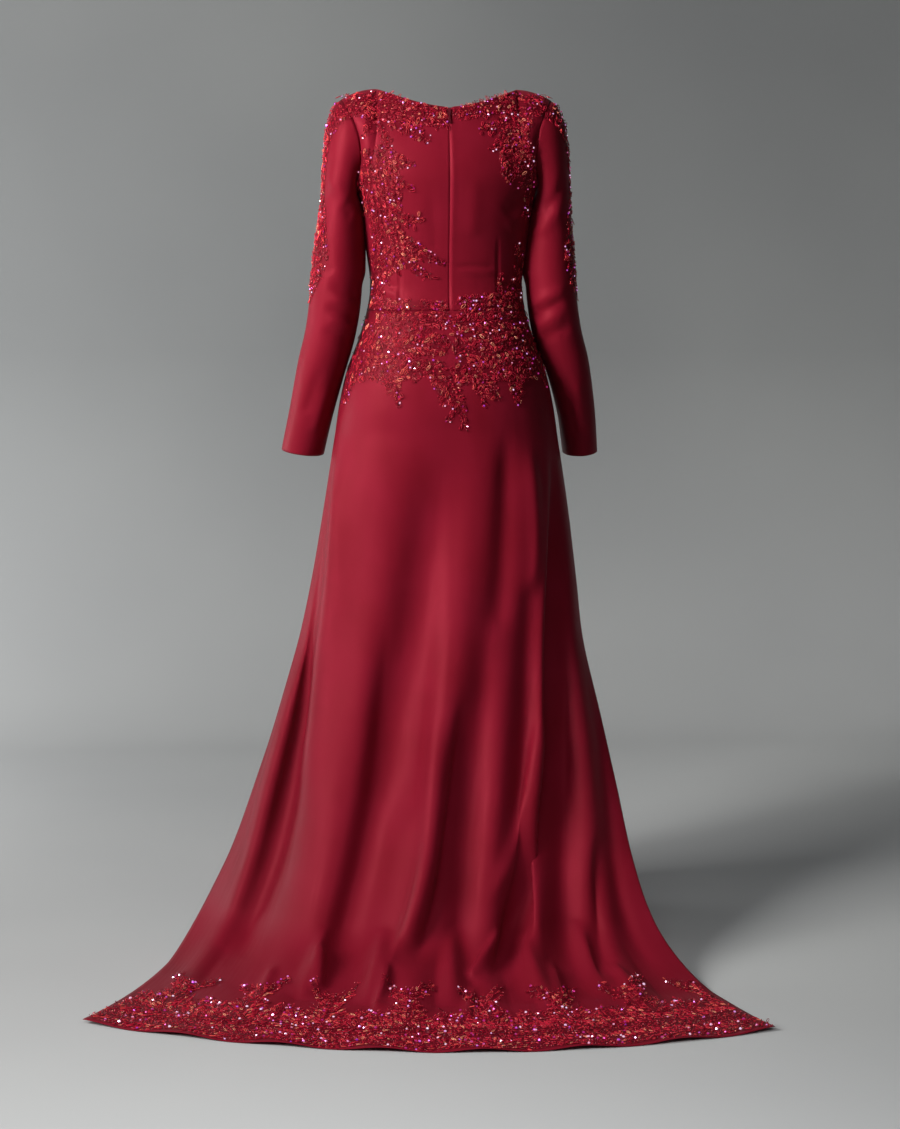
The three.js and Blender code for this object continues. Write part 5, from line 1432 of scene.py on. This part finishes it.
def sleeve_lace(name, node, panel, table, side, seed):
    """Lace down the outside of a sleeve. A place is millimetres round the arm to the back, and the height."""
    rng = np.random.default_rng(seed)
    arm = Arm(table)
    ground = Ground(panel, (0, 1, 2))

    def guess(a, b):
        """A point near the cloth at this place."""
        angle = np.array(a / DEGREE_MM * math.pi / 180)
        if b > arm.top:
            edge = armhole_point(angle) + np.array([6.0, 0, 0])
            top = arm.around(np.array(float(arm.top)), angle)
            t = np.clip((b - arm.top) / max(edge[2] - arm.top, 1), 0, 1)
            spot = top * (1 - t) + edge * t
            spot[0] += 14 * t * (1 - t) * 4
            spot[2] = b
        else:
            spot = arm.around(np.array(float(b)), angle)
        return spot * np.array([side, 1, 1])

    def allowed(a, b):
        place = tuple(guess(a, b))
        base, _ = ground.lay(place)
        return min(off_armhole(base) - 6, SLEEVE_REACH - ground.off(place))

    def inside(a, b):
        return min(float(sleeve_field(a, b)), allowed(a, b))

    def locate(a, b):
        base, normal = ground.lay(tuple(guess(a, b)))
        return base, normal, unit(np.cross(UPWARDS, normal)) * side, UPWARDS

    placed = Placed()
    for spray in SLEEVE_SPRAYS:
        sew_spray(placed, rng, spray, inside)
    sew_filling(placed, rng, sleeve_field, allowed, SLEEVE_BOX, SLEEVE_SPACING, SLEEVE_RISE)
    return lace_piece(name, node, placed, locate, LACE_SIZES, seed)


elements = [mesh_object("element_" + name, np.asarray(verts) / 1000, faces, None, smooth=name != "crystal")
            for name, (verts, faces), _, _ in ELEMENTS]
lace_nodes, lace_inputs = lace_tree(elements)
on_left, on_right, on_front = (Ground(panel, (0, 2)) for panel in (back_left, back_right, front))
on_hip, on_front_skirt = (Ground(panel, (0, 2), low=HIP_LOW) for panel in (train, front_skirt))
hem_ground = Ground(train, (0, 1), high=FLOOR_HIGH)
# The lace on each panel of cloth: its name, the solid that it stands for, its ground, sprays, box and seed.
sewn_on = {
    "bodice_back_left": [
        body_lace("lace_left_column", "lace_back_left", on_left, LACE_BACK_LEFT, BODICE_BOX, 11),
    ],
    "bodice_back_right": [
        body_lace("lace_right_shoulder", "lace_back_right", on_right, LACE_BACK_RIGHT, BODICE_BOX, 12),
        body_lace("lace_right_waist", "lace_waist_right", on_right, LACE_WAIST_RIGHT, BODICE_BOX, 13),
    ],
    "bodice_front": [
        body_lace("lace_left_front", "lace_front_left", on_front, LACE_FRONT_SHOULDER, BODICE_BOX, 16,
                  FRONT_SPACING),
        body_lace("lace_right_front", "lace_front_right", on_front, front_right_sprays, BODICE_BOX, 17,
                  FRONT_SPACING),
    ],
    "skirt_front": [
        body_lace("lace_front_band", "lace_hip_front", on_front_skirt, LACE_HIP_FRONT, HIP_BOX, 15,
                  FRONT_SPACING),
    ],
    "sleeve_left": [sleeve_lace("lace_left_arm", "lace_sleeve_left", sleeve_left, SLEEVE_LEFT, 1, 18)],
    "sleeve_right": [sleeve_lace("lace_right_arm", "lace_sleeve_right", sleeve_right, SLEEVE_RIGHT, -1, 19)],
    "skirt_back": [
        body_lace("lace_hip_band", "lace_hip_back", on_hip, LACE_HIP, HIP_BOX, 14),
        hem_lace("lace_border_left", HEM_SPLIT, hem.ends[1], 20),
        hem_lace("lace_border_right", hem.ends[0], HEM_SPLIT, 21),
    ],
}
for element in elements:
    bpy.data.objects.remove(element)


# Stage, lights and camera.

def make_stage():
    """A painted cove: floor and wall joined by a quarter round. The floor's lighter paint, fading into the
    wall's up the curve, is painted light.
    """
    floor = -SHOULDER_LINE / 1000
    material, tree = new_material("painted_studio_cove")
    place = add_node(tree, "ShaderNodeTexCoord").outputs["Object"]
    cloudy = add_node(tree, "ShaderNodeTexNoise", {"Scale": 0.7, "Detail": 3.0}, Vector=place)
    wall_paint = add_node(tree, "ShaderNodeValToRGB", {"stops": [(0.3, "#8E9091"), (0.7, "#9C9E9E")]},
                          _0=cloudy.outputs["Fac"])
    # The floor is painted lighter than the wall to stand for the extra light that falls on it: painted light.
    floor_paint_with_painted_light = add_node(tree, "ShaderNodeValToRGB", {"stops": [(0.3, "#B2B4B5"), (0.7, "#BCBEBE")]},
                           _0=cloudy.outputs["Fac"])
    height = add_node(tree, "ShaderNodeSeparateXYZ", Vector=place).outputs["Z"]
    share = add_node(tree, "ShaderNodeMapRange", {"From Min": floor, "From Max": floor + 0.9}, Value=height)
    colour = add_node(tree, "ShaderNodeMix", {"data_type": "RGBA"}, _0=share.outputs[0],
                      _6=floor_paint_with_painted_light.outputs["Color"], _7=wall_paint.outputs["Color"])
    paint = add_node(tree, "ShaderNodeBsdfPrincipled", {"Roughness": 0.8, "Specular IOR Level": 0.2},
                     Base_Color=colour.outputs[2])
    add_node(tree, "ShaderNodeOutputMaterial", Surface=paint.outputs[0])
    half, near, wall, radius, high = 6.0, 6.0, -2.4, 0.9, 5.0
    turn = np.linspace(0, np.pi / 2, 24)
    curve = [(wall + radius * (1 - math.sin(a)), radius * (1 - math.cos(a))) for a in turn]
    profile = [(near, 0.0), *curve, (wall, high)]
    verts = [(x, y, z + floor) for y, z in profile for x in (-half, half)]
    faces = [(2 * i, 2 * i + 1, 2 * i + 3, 2 * i + 2) for i in range(len(profile) - 1)]
    mesh_object("studio_cove", verts, faces, material)


WHITE, WARM, COOL = (1, 1, 1), (1, 0.985, 0.96), (0.95, 0.97, 1)
# Name, place, what it is aimed at, width and height in metres, watts, colour and spread in degrees.
LIGHTS = [
    ("key", (3.5, 1.7, 0.9), (0, 0.2, -0.5), (1.8, 2.2), 176, WARM, 180),
    ("upper", (2.3, 1.8, 1.15), (0.05, 0, -0.2), (0.8, 0.8), 6.2, WARM, 40),
    ("fill", (-2.4, 3.4, 0.6), (0, 0.2, -0.7), (2.5, 2.5), 2.5, COOL, 180),
    ("wall", (2.2, -0.9, -0.8), (0.2, -2.4, -0.95), (0.9, 1.0), 24, WHITE, 180),
    ("floor", (0.2, 2.5, 0.4), (0.2, 1.5, -1.42), (1.6, 0.5), 9, WHITE, 80),
]


def area_light(name, place, target, size, power, colour, spread):
    light = bpy.data.lights.new(name, "AREA")
    light.spread = math.radians(spread)
    light.shape, light.size, light.size_y = "RECTANGLE", size[0], size[1]
    light.energy, light.color = power, colour
    obj = bpy.data.objects.new(name, light)
    obj.location = place
    obj.rotation_mode = "QUATERNION"
    obj.rotation_quaternion = (Vector(target) - Vector(place)).to_track_quat("-Z", "Y")
    bpy.context.scene.collection.objects.link(obj)


def make_camera():
    """The photograph's viewpoint: 4.2 m behind the garment, 1.15 m up, a little to the wearer's left."""
    distance, height, turn, tilt = 4.2, 1.15, math.radians(4.5), math.radians(7.16)
    place = Vector((distance * math.sin(turn), distance * math.cos(turn), height - SHOULDER_LINE / 1000))
    level = Vector((-math.sin(turn), -math.cos(turn), 0))
    forward = level * math.cos(tilt) + Vector((0, 0, -math.sin(tilt)))
    camera = bpy.data.objects.new("camera", bpy.data.cameras.new("camera"))
    camera.data.lens, camera.data.sensor_width, camera.data.sensor_fit = 77.8, 36, "AUTO"
    camera.data.shift_x = 0.0035
    camera.location = place
    camera.rotation_mode = "QUATERNION"
    camera.rotation_quaternion = forward.to_track_quat("-Z", "Y")
    bpy.context.scene.collection.objects.link(camera)
    bpy.context.scene.camera = camera


make_stage()
for row in LIGHTS:
    area_light(*row)
make_camera()
world = bpy.data.worlds.new("studio")
world.use_nodes = True
world.node_tree.nodes["Background"].inputs["Color"].default_value = linear("#9CA0A4")
world.node_tree.nodes["Background"].inputs["Strength"].default_value = 0.14
bpy.context.scene.world = world
bpy.context.scene.view_settings.view_transform = "Standard"
